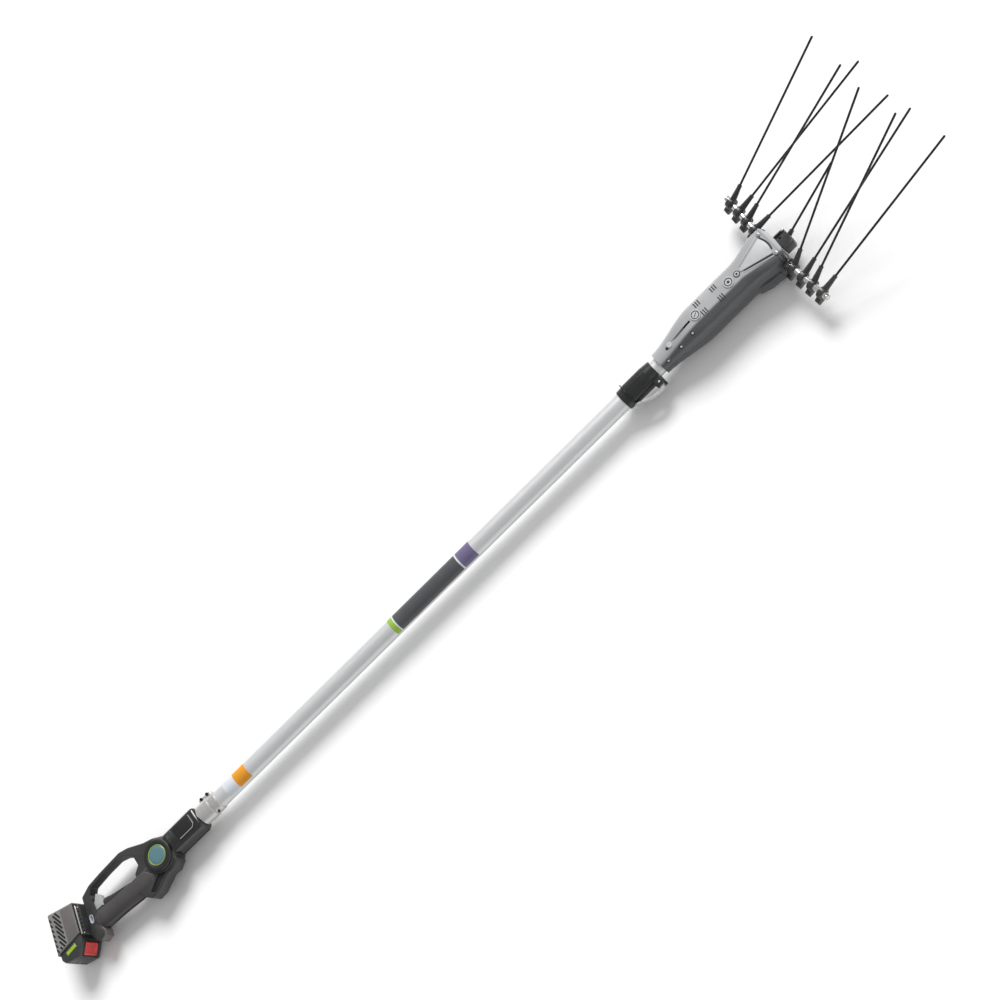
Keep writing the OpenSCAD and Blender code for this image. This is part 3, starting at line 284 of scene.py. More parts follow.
# Rings of points joined one after the other, with both ends closed
def addLoft(name, rings):
    n = len(rings[0])
    faces = [[i * n + k, i * n + (k + 1) % n, (i + 1) * n + (k + 1) % n, (i + 1) * n + k]
             for i in range(len(rings) - 1) for k in range(n)]
    faces += [list(range(n)), list(range((len(rings) - 1) * n, len(rings) * n))]
    obj = addMesh(name, [p for ring in rings for p in ring], faces)
    bpy.ops.object.mode_set(mode="EDIT")
    bpy.ops.mesh.select_all(action="SELECT")
    bpy.ops.mesh.normals_make_consistent(inside=False)
    bpy.ops.object.mode_set(mode="OBJECT")
    return obj


def applyModifier(obj, kind, **settings):
    activate(obj)
    modifier = obj.modifiers.new(kind.lower(), kind)
    for name, value in settings.items():
        setattr(modifier, name, value)
    bpy.ops.object.modifier_apply(modifier=modifier.name)
    return obj


def roundEdges(obj, width, segments=3, angle=35):
    return applyModifier(obj, "BEVEL", width=width, segments=segments, limit_method="ANGLE",
                         angle_limit=math.radians(angle), use_clamp_overlap=True)


# Thin round bead along a line of points
def addBead(name, line, r):
    curve = bpy.data.curves.new(name, "CURVE")
    curve.dimensions = "3D"
    curve.bevel_depth = r
    curve.bevel_resolution = 2
    curve.use_fill_caps = True
    spline = curve.splines.new("POLY")
    spline.points.add(len(line) - 1)
    for point, place in zip(spline.points, line):
        point.co = (*place, 1)
    obj = bpy.data.objects.new(name, curve)
    bpy.context.collection.objects.link(obj)
    activate(obj)
    bpy.ops.object.convert(target="MESH")
    return bpy.context.object


# Rounds the edges that stand along Z, so that an outline's corners turn softly
def roundCorners(obj, width, segments=4):
    activate(obj)
    for edge in obj.data.edges:
        a, b = (obj.data.vertices[i].co for i in edge.vertices)
        edge.select = abs(a.x - b.x) < 0.01 and abs(a.y - b.y) < 0.01
    bpy.ops.object.mode_set(mode="EDIT")
    bpy.ops.mesh.select_mode(type="EDGE")
    bpy.ops.mesh.bevel(offset=width, segments=segments, affect="EDGES", clamp_overlap=True)
    bpy.ops.object.mode_set(mode="OBJECT")
    return obj


def boolean(obj, other, operation):
    applyModifier(obj, "BOOLEAN", object=other, operation=operation, solver="EXACT")
    mesh = other.data
    bpy.data.objects.remove(other)
    bpy.data.meshes.remove(mesh)
    return obj


def cutOut(obj, *cutters):
    for cutter in cutters:
        boolean(obj, cutter, "DIFFERENCE")
    return obj


def weld(obj, *others):
    for other in others:
        boolean(obj, other, "UNION")
    return obj


# Several closed forms as one object, left apart in its mesh
def gather(name, objs):
    deselectAll()
    for obj in objs:
        obj.select_set(True)
    bpy.context.view_layer.objects.active = objs[0]
    bpy.ops.object.join()
    objs[0].name = name
    objs[0].data.name = name
    return objs[0]


def copied(obj, name, matrix):
    twin = obj.copy()
    twin.data = obj.data.copy()
    twin.name = name
    twin.data.name = name
    bpy.context.collection.objects.link(twin)
    twin.data.transform(matrix)
    return twin


def shift(obj, matrix):
    obj.data.transform(matrix)
    return obj


# Places a piece: it goes into the tool's frame, gets its material and rides on its body
def finish(obj, place, body, material, nodes=(), smooth=35):
    activate(obj)
    obj.data.transform(place)
    bpy.ops.object.mode_set(mode="EDIT")
    bpy.ops.mesh.select_all(action="SELECT")
    bpy.ops.mesh.normals_make_consistent(inside=False)
    bpy.ops.object.mode_set(mode="OBJECT")
    bpy.ops.object.shade_smooth_by_angle(angle=math.radians(smooth))
    obj.data.materials.clear()
    obj.data.materials.append(material)
    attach(obj, body)
    if nodes:
        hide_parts(*nodes)
    return obj


def sliceOff(obj, point, normal):
    activate(obj)
    bpy.ops.object.mode_set(mode="EDIT")
    bpy.ops.mesh.select_all(action="SELECT")
    bpy.ops.mesh.bisect(plane_co=point, plane_no=normal, use_fill=True, clear_outer=True)
    bpy.ops.object.mode_set(mode="OBJECT")
    return obj


# Sinks or raises the faces that look along a direction, inside a rim
def pressFaces(obj, direction, rim, depth, share=0.9):
    activate(obj)
    bpy.ops.object.mode_set(mode="EDIT")
    bpy.ops.mesh.select_mode(type="FACE")
    bpy.ops.mesh.select_all(action="DESELECT")
    bpy.ops.object.mode_set(mode="OBJECT")
    for face in obj.data.polygons:
        face.select = face.normal.dot(Vector(direction)) > share
    bpy.ops.object.mode_set(mode="EDIT")
    bpy.ops.mesh.inset(thickness=rim, depth=depth)
    bpy.ops.object.mode_set(mode="OBJECT")
    return obj


# Oval outline round the origin, longer along Y
def ovalOutline(width, length, steps=10):
    r, out = width / 2, length / 2 - width / 2
    turn = [math.pi * k / steps for k in range(steps + 1)]
    return [(r * math.cos(t), out + r * math.sin(t)) for t in turn] + \
           [(-r * math.cos(t), -out - r * math.sin(t)) for t in turn]


# Strip of even width along a line of points
def stripOutline(line, width):
    left, right = [], []
    for i, p in enumerate(line):
        a, b = Vector(line[max(i - 1, 0)]), Vector(line[min(i + 1, len(line) - 1)])
        along = (b - a).normalized()
        side = Vector((-along.y, along.x)) * width / 2
        left.append((p[0] + side.x, p[1] + side.y))
        right.append((p[0] - side.x, p[1] - side.y))
    return left + right[::-1]


# Handle loop: a plate with the hand's opening, a black band of painted shade along the thin arm and a strap slot

loop = {"half": 13.5, "corner": 6, "holeCorner": 3, "edge": 2.4, "footX": 12.3, "shadeBandZ": (-9.5, 10),
        "strapAt": (-323.5, 3.5), "strapSize": (9, 18)}
loopShares = [(0.266, 0.35), (0.347, 0.571), (0.405, 0.657), (0.509, 0.914), (0.572, 1), (0.74, 0.971),
              (0.847, 0.929), (0.919, 0.8), (0.955, 0.63), (0.985, -0.28), (0.9, -0.42), (0.772, -0.443),
              (0.595, -0.5), (0.45, -0.5), (0.283, -0.4), (0.266, -0.35)]
# Outline of the hand's opening; its side along the thin arm carries a black band of painted shade
armSide = [(-174, 39), (-193, 55), (-212, 61.4), (-251, 61), (-291, 57.5), (-301, 46)]
holeOutline = armSide + [(-307, 10.5), (-245, 9), (-198, 1.4), (-174, 17)]


thumbRoom = [(-289, 46), (-281, 34), (-281, 10), (-290, 2), (-305, 4), (-324, 14), (-321, 27), (-306, 38)]


def handlePoints(shares):
    return [(-x * tool["handleLen"], y * tool["handleW"]) for x, y in shares]


def makeLoop():
    plate = roundCorners(addPlate("handleLoop", handlePoints(loopShares), -loop["half"], loop["half"]), loop["corner"])
    hole = roundCorners(addPlate("hole", holeOutline, -40, 40), loop["holeCorner"])
    strapPlace = moved(*loop["strapAt"]) @ turned("Z", -tool["dockTurn"])
    strap = shift(addPlate("strap", ovalOutline(*loop["strapSize"]), -40, 40), strapPlace)
    cutOut(plate, hole, strap)
    away = turned("Z", -tool["dockTurn"]) @ Vector((-1, 0, 0))
    foot = moved(-tool["handleLen"], 0) @ turned("Z", -tool["dockTurn"]) @ Vector((loop["footX"], 0, 0))
    sliceOff(plate, foot, away)
    roundEdges(plate, loop["edge"], 4, 50)
    cutOut(plate, addPlate("thumbRoom", thumbRoom, -8, 8))
    room = addBlock("triggerRoom", (-90.5, -16.5, -30), (5.5, 30, 30))
    cutOut(plate, shift(room, poleFrame.inverted() @ triggerFrame))
    finish(plate, poleFrame, "handle", handlePlastic, ("handle_upper_shell", "handle_lower_shell"))
    # Painted shade: a thin black band along the opening stands in for the arm's inner wall in shadow
    band = addPlate("armShadeBand", stripOutline(armSide, 0.7), *loop["shadeBandZ"])
    finish(roundEdges(band, 0.2, 1), poleFrame, "handle", channelBlack)
    width, length = loop["strapSize"]
    # Painted light: the white lining makes the strap slot read bright, standing in for the light seen through it
    eyelet = addPlate("strapSlotLightLining", ovalOutline(width - 0.1, length - 0.1), -13.2, 13.7)
    cutOut(eyelet, addPlate("inside", ovalOutline(width - 1.8, length - 1.8), -30, 30))
    finish(shift(eyelet, strapPlace), poleFrame, "handle", whiteVinyl)


# Grip: a soft rounded bar that swells towards the badge, with a raised shield on both faces

grip = {"front": (-0.565 * 346, -0.27 * 70), "tilt": math.degrees(math.atan(0.08)), "power": 2.5, "points": 40,
        "shieldRise": 0.8, "shieldT": 1.6, "shieldSteps": 16}
# Distance along the grip, half height, half width and offset to the loop's side
gripSections = [(-44, 15, 24, 6), (-30, 17.5, 24, 4), (-8, 18.4, 21.5, 1), (20, 18, 18.8, 0), (60, 17.6, 17.8, 0),
                (95, 18, 18.2, 0), (116, 18, 18.4, 0), (123, 16.5, 17, 0)]
# Distance along the grip and how far round the shield reaches, in degrees
shieldReach = [(-40, 4), (-28, 30), (-10, 52), (10, 62), (50, 60), (90, 58), (110, 54)]
gripFrame = poleFrame @ moved(*grip["front"]) @ turned("Z", -grip["tilt"]) @ turned("Y", -90)
trigger = {"pivot": (-0.572 * 346, -0.1 * 70), "slope": 7, "half": 10.5, "roomHalf": 11.3, "edge": 2}
triggerFrame = poleFrame @ moved(*trigger["pivot"]) @ turned("Z", -trigger["slope"])


def between(table, t):
    for a, b in zip(table, table[1:]):
        if t <= b[0]:
            share = max(0, (t - a[0]) / (b[0] - a[0]))
            share = share * share * (3 - 2 * share)
            return [p + (q - p) * share for p, q in zip(a[1:], b[1:])]
    return list(table[-1][1:])


def gripPoint(t, degrees, rise=0):
    high, wide, offset = between(gripSections, t)
    c, s = math.cos(math.radians(degrees)), math.sin(math.radians(degrees))
    share = 2 / grip["power"]
    return ((high + rise) * math.copysign(abs(c) ** share, c), offset + (wide + rise) * math.copysign(abs(s) ** share, s), t)


def makeGrip():
    rings = [[gripPoint(t, 360 * k / grip["points"]) for k in range(grip["points"])]
             for t in (-44, -38, -30, -20, -8, 6, 20, 40, 60, 80, 95, 108, 116, 120, 123)]
    bar = addLoft("gripBar", rings)
    roundEdges(bar, 3, 3, 60)
    toGrip = gripFrame.inverted() @ triggerFrame
    room = addBlock("room", (-90.5, -16.5, -trigger["roomHalf"]), (6, 60, trigger["roomHalf"]))
    cutOut(bar, shift(room, toGrip))
    for low, high in ((13.2, 40), (-40, -13.2)):
        cutOut(bar, shift(addPlate("window", windowOutline, low, high), gripFrame.inverted() @ poleFrame))
    finish(bar, gripFrame, "handle", softGrip, ("grip_cover",), 40)
    shields, highlightBeads = [], []
    for side in (0, 180):
        rows = [t[0] for t in shieldReach]
        rows = sorted(rows + [(a + b) / 2 for a, b in zip(rows, rows[1:])])
        points = []
        for t in rows:
            reach = between(shieldReach, t)[0]
            shiftSide = -16
            points.append([gripPoint(t, side + (shiftSide if side == 0 else -shiftSide)
                                     + reach * (2 * k / grip["shieldSteps"] - 1), grip["shieldRise"])
                           for k in range(grip["shieldSteps"] + 1)])
        n = grip["shieldSteps"] + 1
        border = [(t, -1) for t in rows[::-1]] + [(t, 1) for t in rows]
        line = [gripPoint(t, side + (shiftSide if side == 0 else -shiftSide) + end * (between(shieldReach, t)[0] - 1), 1.6)
                for t, end in border]
        highlightBeads.append(addBead("bead", line, 1))
        faces = [[i * n + k, i * n + k + 1, (i + 1) * n + k + 1, (i + 1) * n + k]
                 for i in range(len(rows) - 1) for k in range(n - 1)]
        patch = addMesh("shield", [p for row in points for p in row], faces)
        bpy.ops.object.mode_set(mode="EDIT")
        bpy.ops.mesh.select_all(action="SELECT")
        bpy.ops.mesh.normals_make_consistent(inside=False)
        bpy.ops.object.mode_set(mode="OBJECT")
        applyModifier(patch, "SOLIDIFY", thickness=grip["shieldT"], offset=0)
        shields.append(roundEdges(patch, 0.5, 2, 60))
    finish(gather("gripShields", shields), gripFrame, "handle", softGrip, smooth=50)
    # Painted highlight: the raised border bead is paler than the grip, showing the light along the shield's edge
    finish(gather("gripBeadHighlight", highlightBeads), gripFrame, "handle", footGrey, smooth=60)


# Paddle trigger with a blunt tail that stands proud of the grip

triggerOutline = [(4.5, -2), (4, 4), (0, 7), (-30, 10), (-50, 11.8), (-66, 13.2), (-75, 15.6), (-82, 16.2), (-87, 14.4),
                  (-88.8, 10), (-88.8, -6.2), (-40, -6.4), (0, -5)]


def makeTrigger():
    paddle = addPlate("triggerPaddle", triggerOutline, -trigger["half"], trigger["half"])
    roundCorners(paddle, 1.5, 2)
    roundEdges(paddle, trigger["edge"], 4, 50)
    ribs = []
    for k in range(6):
        x = -34 - 5 * k
        ribs.append(roundEdges(addBlock("rib", (x - 1, 8.2, -6.5), (x + 1, 10.6 - (x + 34) * 0.06, 6.5)), 0.6, 2))
    weld(paddle, *ribs)
    finish(paddle, triggerFrame, "trigger", handlePlastic, ("trigger",))


# Control box with a raised panel, a pale line along two of its edges and ribs towards the badge

box = {"low": (-100, -24.4, -22.4), "high": (-5, 24.4, 22.4), "edge": 9.5, "panelX": (-66, -17), "panelHalf": 17,
       "panelTop": 23.9, "lineW": 1.5, "ribX": (-86, -81.5, -77, -72.5), "ribHalf": 15}


def makeBox():
    body = roundEdges(addBlock("controlBox", box["low"], box["high"]), box["edge"], 6)
    hem = addBlock("hem", (-98, -25.4, -17), (-14, 25.4, -12))
    weld(body, roundEdges(hem, 0.9, 3))
    finish(body, poleFrame, "handle", glossBlack)
    (x0, x1), half, top = box["panelX"], box["panelHalf"], box["panelTop"]
    outline = [(x0, -half), (x1 - 8, -half), (x1, -half + 9), (x1, half - 4), (x1 - 4, half), (x0, half)]
    panel = roundCorners(addPlate("boxPanel", outline, 21.4, top), 3)
    finish(roundEdges(panel, 0.9, 3, 50), poleFrame, "handle", channelBlack, ("box_cover",))
    line = [(x1 - 4.5, half - 3), (x1 - 3.4, half - 7), (x1 - 3.4, -half + 9), (x1 - 9, -half + 3.4), (x0 + 4, -half + 3.4)]
    trim = addPlate("panelLine", stripOutline(line, box["lineW"]), top - 0.3, top + 0.35)
    finish(roundEdges(trim, 0.25, 2), poleFrame, "handle", lightGrey)
    ribs = [roundEdges(addBlock("rib", (x - 1.1, -box["ribHalf"], 21), (x + 1.1, box["ribHalf"] + 3, 23.6)), 0.7, 2)
            for x in box["ribX"]]
    finish(gather("boxRibs", ribs), poleFrame, "handle", glossBlack)


# Round badge: boss in the shells, thick black ring, thin lime ring and a plain disc

badge = {"at": (-0.35 * 346, -0.06 * 70), "r": 33, "discR": 19.2, "limeR": 20.2}


def makeBadge():
    place = poleFrame @ moved(*badge["at"])
    boss = [(0, -24), (31, -24), (34.5, -22.5), (36, -19), (36, 18), (34.8, 21), (33.2, 21.6), (0, 21.6)]
    finish(addTurned("badgeBoss", boss, 96), place, "handle", handlePlastic)
    r = badge["r"]
    ring = [(0, 21.2), (r - 0.6, 21.2), (r, 22.4), (r, 25.6), (r - 1.2, 27.8), (r - 4, 28.9), (r - 9.8, 28.7),
            (r - 11.8, 27.4), (0, 27.2)]
    finish(addTurned("badgeRing", ring, 96), place, "handle", ringBlack, ("badge_cap",))
    disc = [(0, 27.3), (badge["discR"], 27.3), (badge["discR"], 27.9), (badge["discR"] - 0.6, 28.25),
            (12, 28.6), (0, 28.8)]
    finish(addTurned("badgeDisc", disc, 96), place, "handle", badgeTeal, ("badge_ring",))
    lime = badge["limeR"]
    hoop = [(lime - 0.7, 27.2), (lime + 0.7, 27.2), (lime + 0.7, 28.2), (lime, 28.6), (lime - 0.7, 28.2)]
    finish(addTurned("badgeLimeRing", hoop, 96, True), place, "handle", limePaint)


# Faceted pod on the other side of the badge, with a dark sunk window

pod = {"half": 17, "edge": 3}
podOutline = [(-92, -20), (-94, -37), (-111, -46.5), (-128, -45.5), (-164, -60.5), (-184, -62), (-199, -46),
              (-205, -30), (-190, -10), (-150, 0)]
windowOutline = [(-127, -35), (-145.5, -31), (-181, -49.5), (-171, -57.5), (-130, -40.5)]


def makePod():
    body = roundCorners(addPlate("sidePod", podOutline, -pod["half"], pod["half"]), 3, 3)
    roundEdges(body, pod["edge"], 2, 50)
    covers = []
    for side in (1, -1):
        low, high = sorted((side * (pod["half"] - 3), side * 40))
        cutOut(body, roundCorners(addPlate("window", windowOutline, low, high), 2, 3))
        low, high = sorted((side * (pod["half"] - 4), side * (pod["half"] - 2.4)))
        covers.append(roundEdges(addPlate("pane", [(x * 0.998 - 0.3, y * 0.998) for x, y in windowOutline], low, high), 0.5, 2))
    finish(body, poleFrame, "handle", handlePlastic)
    finish(gather("podWindows", covers), poleFrame, "handle", channelBlack)


# Foot: a lip that reaches over the battery, paler towards its free end

lip = {"half": 15, "edge": 1.2}
lipOutline = [(-335, -12), (-343, -20), (-337, -41), (-331, -47), (-316, -44), (-311, -35), (-312, -22), (-319, -12)]
lipCapOutline = [(-329, -48.4), (-314.6, -45.6), (-309.4, -35), (-310.6, -26), (-319, -32)]


def makeLip():
    body = roundCorners(addPlate("footLip", lipOutline, -lip["half"], lip["half"]), 1, 2)
    finish(roundEdges(body, lip["edge"], 3, 50), poleFrame, "handle", handlePlastic)
    cap = roundCorners(addPlate("footLipCap", lipCapOutline, -lip["half"] + 1, lip["half"] - 1), 1, 2)
    finish(roundEdges(cap, 1, 3, 50), poleFrame, "handle", footGrey)


# Light grey thumb switch in the loop's rear corner

thumb = {"half": 7, "edge": 1.4}
thumbOutline = [(-291.5, 43.5), (-284, 33.5), (-284.2, 20), (-286.5, 10.5), (-292.5, 4.6), (-302.5, 6.6), (-319, 17), (-317, 24),
                (-303, 31)]


def makeThumbSwitch():
    fin = roundCorners(addPlate("thumbSwitch", thumbOutline, -thumb["half"], thumb["half"]), 1.5, 3)
    roundEdges(fin, thumb["edge"], 4, 50)
    finish(fin, poleFrame, "switch", lightGrey, ("switch_button",))


makeLoop()
makeGrip()
makeTrigger()
makeBox()
makeBadge()
makePod()
makeLip()
makeThumbSwitch()
print("handle made")


# Dock with grooves, ribs, bright rails and contact pins

dock = {"t": 12, "front": -18, "end": 45.5, "z": 33, "railZ": 27, "railW": 6.2, "railDeep": 6, "strip": 2.5, "ribCount": 7}


def makeDock():
    body = addBlock("dockBody", (0.05, dock["front"], -dock["z"]), (dock["t"], dock["end"], dock["z"]))
    roundEdges(body, 1.6, 3)
    for side in (-1, 1):
        z = side * dock["railZ"]
        cutOut(body, addBlock("groove", (-5, -99, z - dock["railW"] / 2), (dock["railDeep"], 99, z + dock["railW"] / 2)))
        for k in range(dock["ribCount"]):
            y = -12 + 8.4 * k
            low, high = sorted((side * (dock["z"] - 2.4), side * 50))
            cutOut(body, addBlock("slot", (7.2, y - 2.2, low), (10.8, y + 2.2, high)))
    finish(body, dockFrame, "handle", handlePlastic, ("battery_dock",))
    strips, pins = [], []
    for side in (-1, 1):
        low, high = sorted((side * (dock["z"] + 0.1), side * (dock["z"] + dock["strip"])))
        strips.append(roundEdges(addBlock("strip", (1.8, -16, low), (5.6, 44, high)), 0.8, 3))
        for y in (-15, 39):
            pins.append(roundEdges(addRod("pin", (8.8, y, side * (dock["z"] - 1)), (8.8, y, side * (dock["z"] + 0.9)), 1.5, sides=20), 0.4, 2))
    finish(gather("dockRails", strips), dockFrame, "handle", brightSteel, ("dock_rails",))
    finish(gather("dockPins", pins), dockFrame, "handle", brightSteel)


# Vented guard round the battery: a rounded shell, open to the front, with two columns of slanted slots

guard = {"back": -64.1, "top": -0.7, "front": -36.04, "end": 53.3, "half": 38.5, "wall": 3, "slant": 21, "edge": 3.5,
         "ventW": 4.4, "ventTurn": -55}
# Middle and length of each slot: a short column along the back edge and a long one beside it
shortVents = [(-59.9, 38.4 - 10.8 * i, 10) for i in range(7)]
longVents = [(-39.8, 42.4, 18), (-43, 35 - 10.8, 28.4), (-43, 35, 28.4), (-43, 35 - 21.6, 28.4), (-43, 35 - 32.4, 28.4), (-43, 35 - 43.2, 28.4),
             (-45, -17.4, 21), (-49.4, -24.4, 10)]


def makeGuard():
    g = guard
    shell = roundEdges(addBlock("ventedGuard", (g["back"], g["front"] - 4, -g["half"]), (g["top"] + 8, g["end"], g["half"])), g["edge"], 4)
    cutOut(shell, addBlock("room", (g["back"] + g["wall"], -99, -g["half"] + g["wall"]), (99, g["end"] - g["wall"], g["half"] - g["wall"])))
    sliceOff(shell, (g["top"], 0, 0), (1, 0, 0))
    slope = math.radians(g["slant"])
    sliceOff(shell, (g["back"], g["front"], 0), (math.sin(slope), -math.cos(slope), 0))
    for x, y, length in shortVents + longVents:
        vent = addPlate("vent", ovalOutline(g["ventW"], length, 4), g["half"] - 9, g["half"] + 9)
        cutOut(shell, shift(vent, moved(x, y) @ turned("Z", g["ventTurn"] - 90)))
    finish(shell, dockFrame, "handle", guardGrey, ("vented_guard",))
    # Painted shade: a black sheet inside the wall darkens the vent slots
    shadeSheet = addPlate("ventShadeSheet", [(-62.6, 51), (-62.6, -33), (-24, -18), (-22, 51)], g["half"] - 1.5, g["half"] - 1.1)
    finish(shadeSheet, dockFrame, "handle", channelBlack)
    band = addPlate("guardBand", [(-31, 49.5), (-31, -21), (-2.4, -10), (-2.4, 49.5)], g["half"] - 0.6, g["half"] + 0.25)
    finish(roundEdges(band, 0.2, 2), dockFrame, "handle", footGrey)
    hem = [(g["back"] + 1.5, g["front"] + 2.2), (g["top"] - 1, g["front"] + 2.2 + (g["top"] - g["back"] - 2.5) * math.tan(slope))]
    lipStrip = addPlate("guardHem", stripOutline(hem, 2.6), g["half"] - 0.6, g["half"] + 0.4)
    finish(roundEdges(lipStrip, 0.35, 2), dockFrame, "handle", footGrey)


# Battery: a chamfered block with a sloping nose, a scalloped lower edge and two rails

battery = {"back": -60.5, "top": -0.65, "front": -56.1, "end": 49.7, "half": 34.9, "nose": 30, "noseTurn": 30, "edge": 4,
           "scallops": 6, "scallopR": 3.6, "pocket": (9.2, 28, 42)}
releaseFrame = dockFrame @ moved(battery["top"], battery["front"] + battery["nose"]) @ turned("Z", -battery["noseTurn"]) \
    @ moved(0, -battery["nose"] / math.cos(math.radians(battery["noseTurn"])) / 2)


def makeBattery():
    b = battery
    drop = b["nose"] * math.tan(math.radians(b["noseTurn"]))
    outline = [(b["back"], b["front"] + 9), (b["back"] + 8, b["front"]), (b["top"] - drop, b["front"]), (b["top"], b["front"] + b["nose"]),
               (b["top"], b["end"]), (b["back"], b["end"])]
    case = roundEdges(addPlate("batteryCase", outline, -b["half"], b["half"]), b["edge"], 2)
    pocketX, pocketY, pocketZ = b["pocket"]
    toDock = dockFrame.inverted() @ releaseFrame
    cutOut(case, shift(addBlock("pocket", (-pocketX, -pocketY / 2, -pocketZ / 2), (20, pocketY / 2, pocketZ / 2)), toDock))
    for i in range(b["scallops"]):
        z = (i - (b["scallops"] - 1) / 2) * 10.4
        scallop = addRod("scallop", (b["back"] - 5, b["front"] + 5.7, z), (b["back"] + 20.6, b["front"] - 5.8, z), b["scallopR"], sides=24)
        cutOut(case, scallop)
    for side in (-1, 1):
        low, high = sorted((side * (b["half"] - 1.2), side * 60))
        cutOut(case, addBlock("seam", (b["back"] + 12, b["front"] - 5, side * 12 - 0.5), (b["back"] + 40, b["front"] + 1.2, side * 12 + 0.5)))
        weld(case, addBlock("rail", (b["top"] - 2, dock["front"], side * 27 - 2.5), (4.0, b["end"], side * 27 + 2.5)))
    finish(case, dockFrame, "battery", batteryGrey, ("battery_case",))
    strip = roundCorners(addPlate("batteryStrip", [(-13.5, -4), (13.5, -4), (13.5, 4), (-13.5, 4)], 34.6, 36.0), 3.4, 6)
    pressFaces(roundEdges(strip, 0.5, 3, 50), (0, 0, 1), 0.9, -0.25)
    finish(strip, dockFrame @ moved(-30.6, -34.9) @ turned("Z", guard["slant"]), "battery", limePaint, ("battery_strip",))


# Red release button with a scooped thumb hollow

release = {"size": (6.5, 27, 41), "proud": 2, "edge": 2.2}


def makeRelease():
    t, w, h = release["size"]
    top = release["proud"]
    button = roundEdges(addBlock("releaseButton", (top - t, -w / 2, -h / 2), (top, w / 2, h / 2)), release["edge"], 4)
    pressFaces(button, (1, 0, 0), 2.6, -1.5, 0.99)
    hook = addBlock("hook", (top - 2, -w / 2 + 2.4, -h / 2 + 3), (top + 0.7, -w / 2 + 5.2, h / 2 - 3))
    weld(button, roundEdges(hook, 0.8, 3))
    finish(button, releaseFrame, "release", redGloss, ("release_button",))
    rim = roundEdges(addBlock("releaseRim", (-2, -16.4, -23.6), (0.9, 16.4, 23.6)), 0.8, 2)
    cutOut(rim, addBlock("inside", (-9, -14, -21), (9, 14, 21)))
    finish(rim, releaseFrame, "battery", channelBlack)


makeDock()
makeGuard()
makeBattery()
makeRelease()
print("battery end made")


# Pole, clamp and stickers. Turned pieces are made along Z and laid along the pole

alongPole = poleFrame @ turned("Y", 90)
pole = {"r": 19, "innerR": 17.4, "start": -83.9, "end": 1235.9, "stickerR": 19.12, "stickerT": 0.3, "steps": 72}
# Name, start, end, half the arc in degrees and material of each plain label
labels = [("stickerWhite", 72, 101, 58, whiteVinyl), ("stickerOrange", 101.2, 134.5, 58, orangeVinyl),
          ("labelGreen", 549, 560, 70, greenVinyl), ("labelWhite", 560.2, 563, 70, whiteVinyl),
          ("labelGrey", 563.2, 735, 70, greyVinyl), ("labelSilver", 735.2, 738.8, 70, whiteVinyl), ("labelViolet", 739, 775, 70, violetVinyl)]


def makePole():
    wall = [(pole["innerR"], pole["start"]), (pole["r"], pole["start"]), (pole["r"], pole["end"] - 0.6),
            (pole["r"] - 0.6, pole["end"]), (pole["innerR"], pole["end"])]
    finish(addTurned("poleTube", wall, pole["steps"], True), alongPole, "handle", poleSilver, ("pole_tube",))
    for name, start, end, half, material in labels:
        steps = 24
        turns = [math.radians(-half + 2 * half * k / steps) for k in range(steps + 1)]
        r = pole["stickerR"]
        points = [(x, r * math.sin(t) - 0.0, r * math.cos(t)) for x in (start, end) for t in turns]
        faces = [[k, k + 1, steps + 2 + k, steps + 1 + k] for k in range(steps)]
        patch = addMesh(name, points, faces)
        applyModifier(patch, "SOLIDIFY", thickness=pole["stickerT"], offset=0)
        finish(patch, poleFrame @ turned("X", 12), "handle", material)


clamp = {"len": 46, "r": 22.4, "step": 27, "stepR": 21.2, "bore": 19.2, "slit": 2, "lug": (6.9, 39.1), "lugOut": 28.4,
         "lugHalf": 6, "boltY": 25.5, "boltX": (14.95, 31.05)}


def makeClamp():
    c = clamp
    wall = [(c["bore"], -4.8), (c["r"] - 1, -4.8), (c["r"], 1.3), (c["r"], c["step"] - 1), (c["r"] - 0.8, c["step"]),
            (c["stepR"] - 0.6, c["step"] + 0.4), (c["stepR"], c["step"] + 1.4), (c["stepR"], c["len"] - 1.2),
            (c["stepR"] - 1.2, c["len"]), (c["bore"], c["len"])]
    body = shift(addTurned("poleClamp", wall, 72, True), turned("Y", 90))
    ear = roundEdges(addBlock("ear", (c["lug"][0], 17, -c["lugHalf"]), (c["lug"][1], c["lugOut"], c["lugHalf"])), 2, 3)
    cutOut(ear, addRod("bore", (-5, 0, 0), (60, 0, 0), c["bore"] + 0.6, sides=72))
    weld(body, ear)
    cutOut(body, addBlock("slit", (-5, 12, -c["slit"] / 2), (60, 60, c["slit"] / 2)))
    for x in c["boltX"]:
        cutOut(body, addRod("seat", (x, c["boltY"], -40), (x, c["boltY"], 40), 2.7, sides=32))
    finish(body, poleFrame, "handle", castSilver, ("pole_clamp",))
    bolts = []
    for x in c["boltX"]:
        shank = addRod("shank", (x, c["boltY"], -9), (x, c["boltY"], 6.2), 2.5, sides=32)
        head = roundEdges(addRod("boltHead", (x, c["boltY"], 6.1), (x, c["boltY"], 9.1), 3.25, sides=40), 0.6, 3)
        cutOut(head, addRod("socket", (x, c["boltY"], 7.6), (x, c["boltY"], 14), 1.8, sides=6))
        bolts += [shank, head]
    finish(gather("clampBolts", bolts), poleFrame, "handle", darkSteel, ("clamp_bolts",))
    screw = roundEdges(addRod("clampScrew", (33, -19.4, 6), (33, -22.6, 7), 2.6, sides=32), 0.5, 3)
    finish(screw, poleFrame, "handle", darkSteel)


# Collar with flutes and two ears for the quick release lever

collar = {"x": 1183, "len": 85, "r": 23.25, "endR": 21.75, "bore": 19.2, "mouth": 17.8, "grip": 53, "flutes": 10, "fluteR": 2,
          "pivot": (1258, -29.25), "earHalf": 9.8, "earIn": -12, "earOut": -35, "earZ": (6.5, 11.4), "pinR": 2.65}


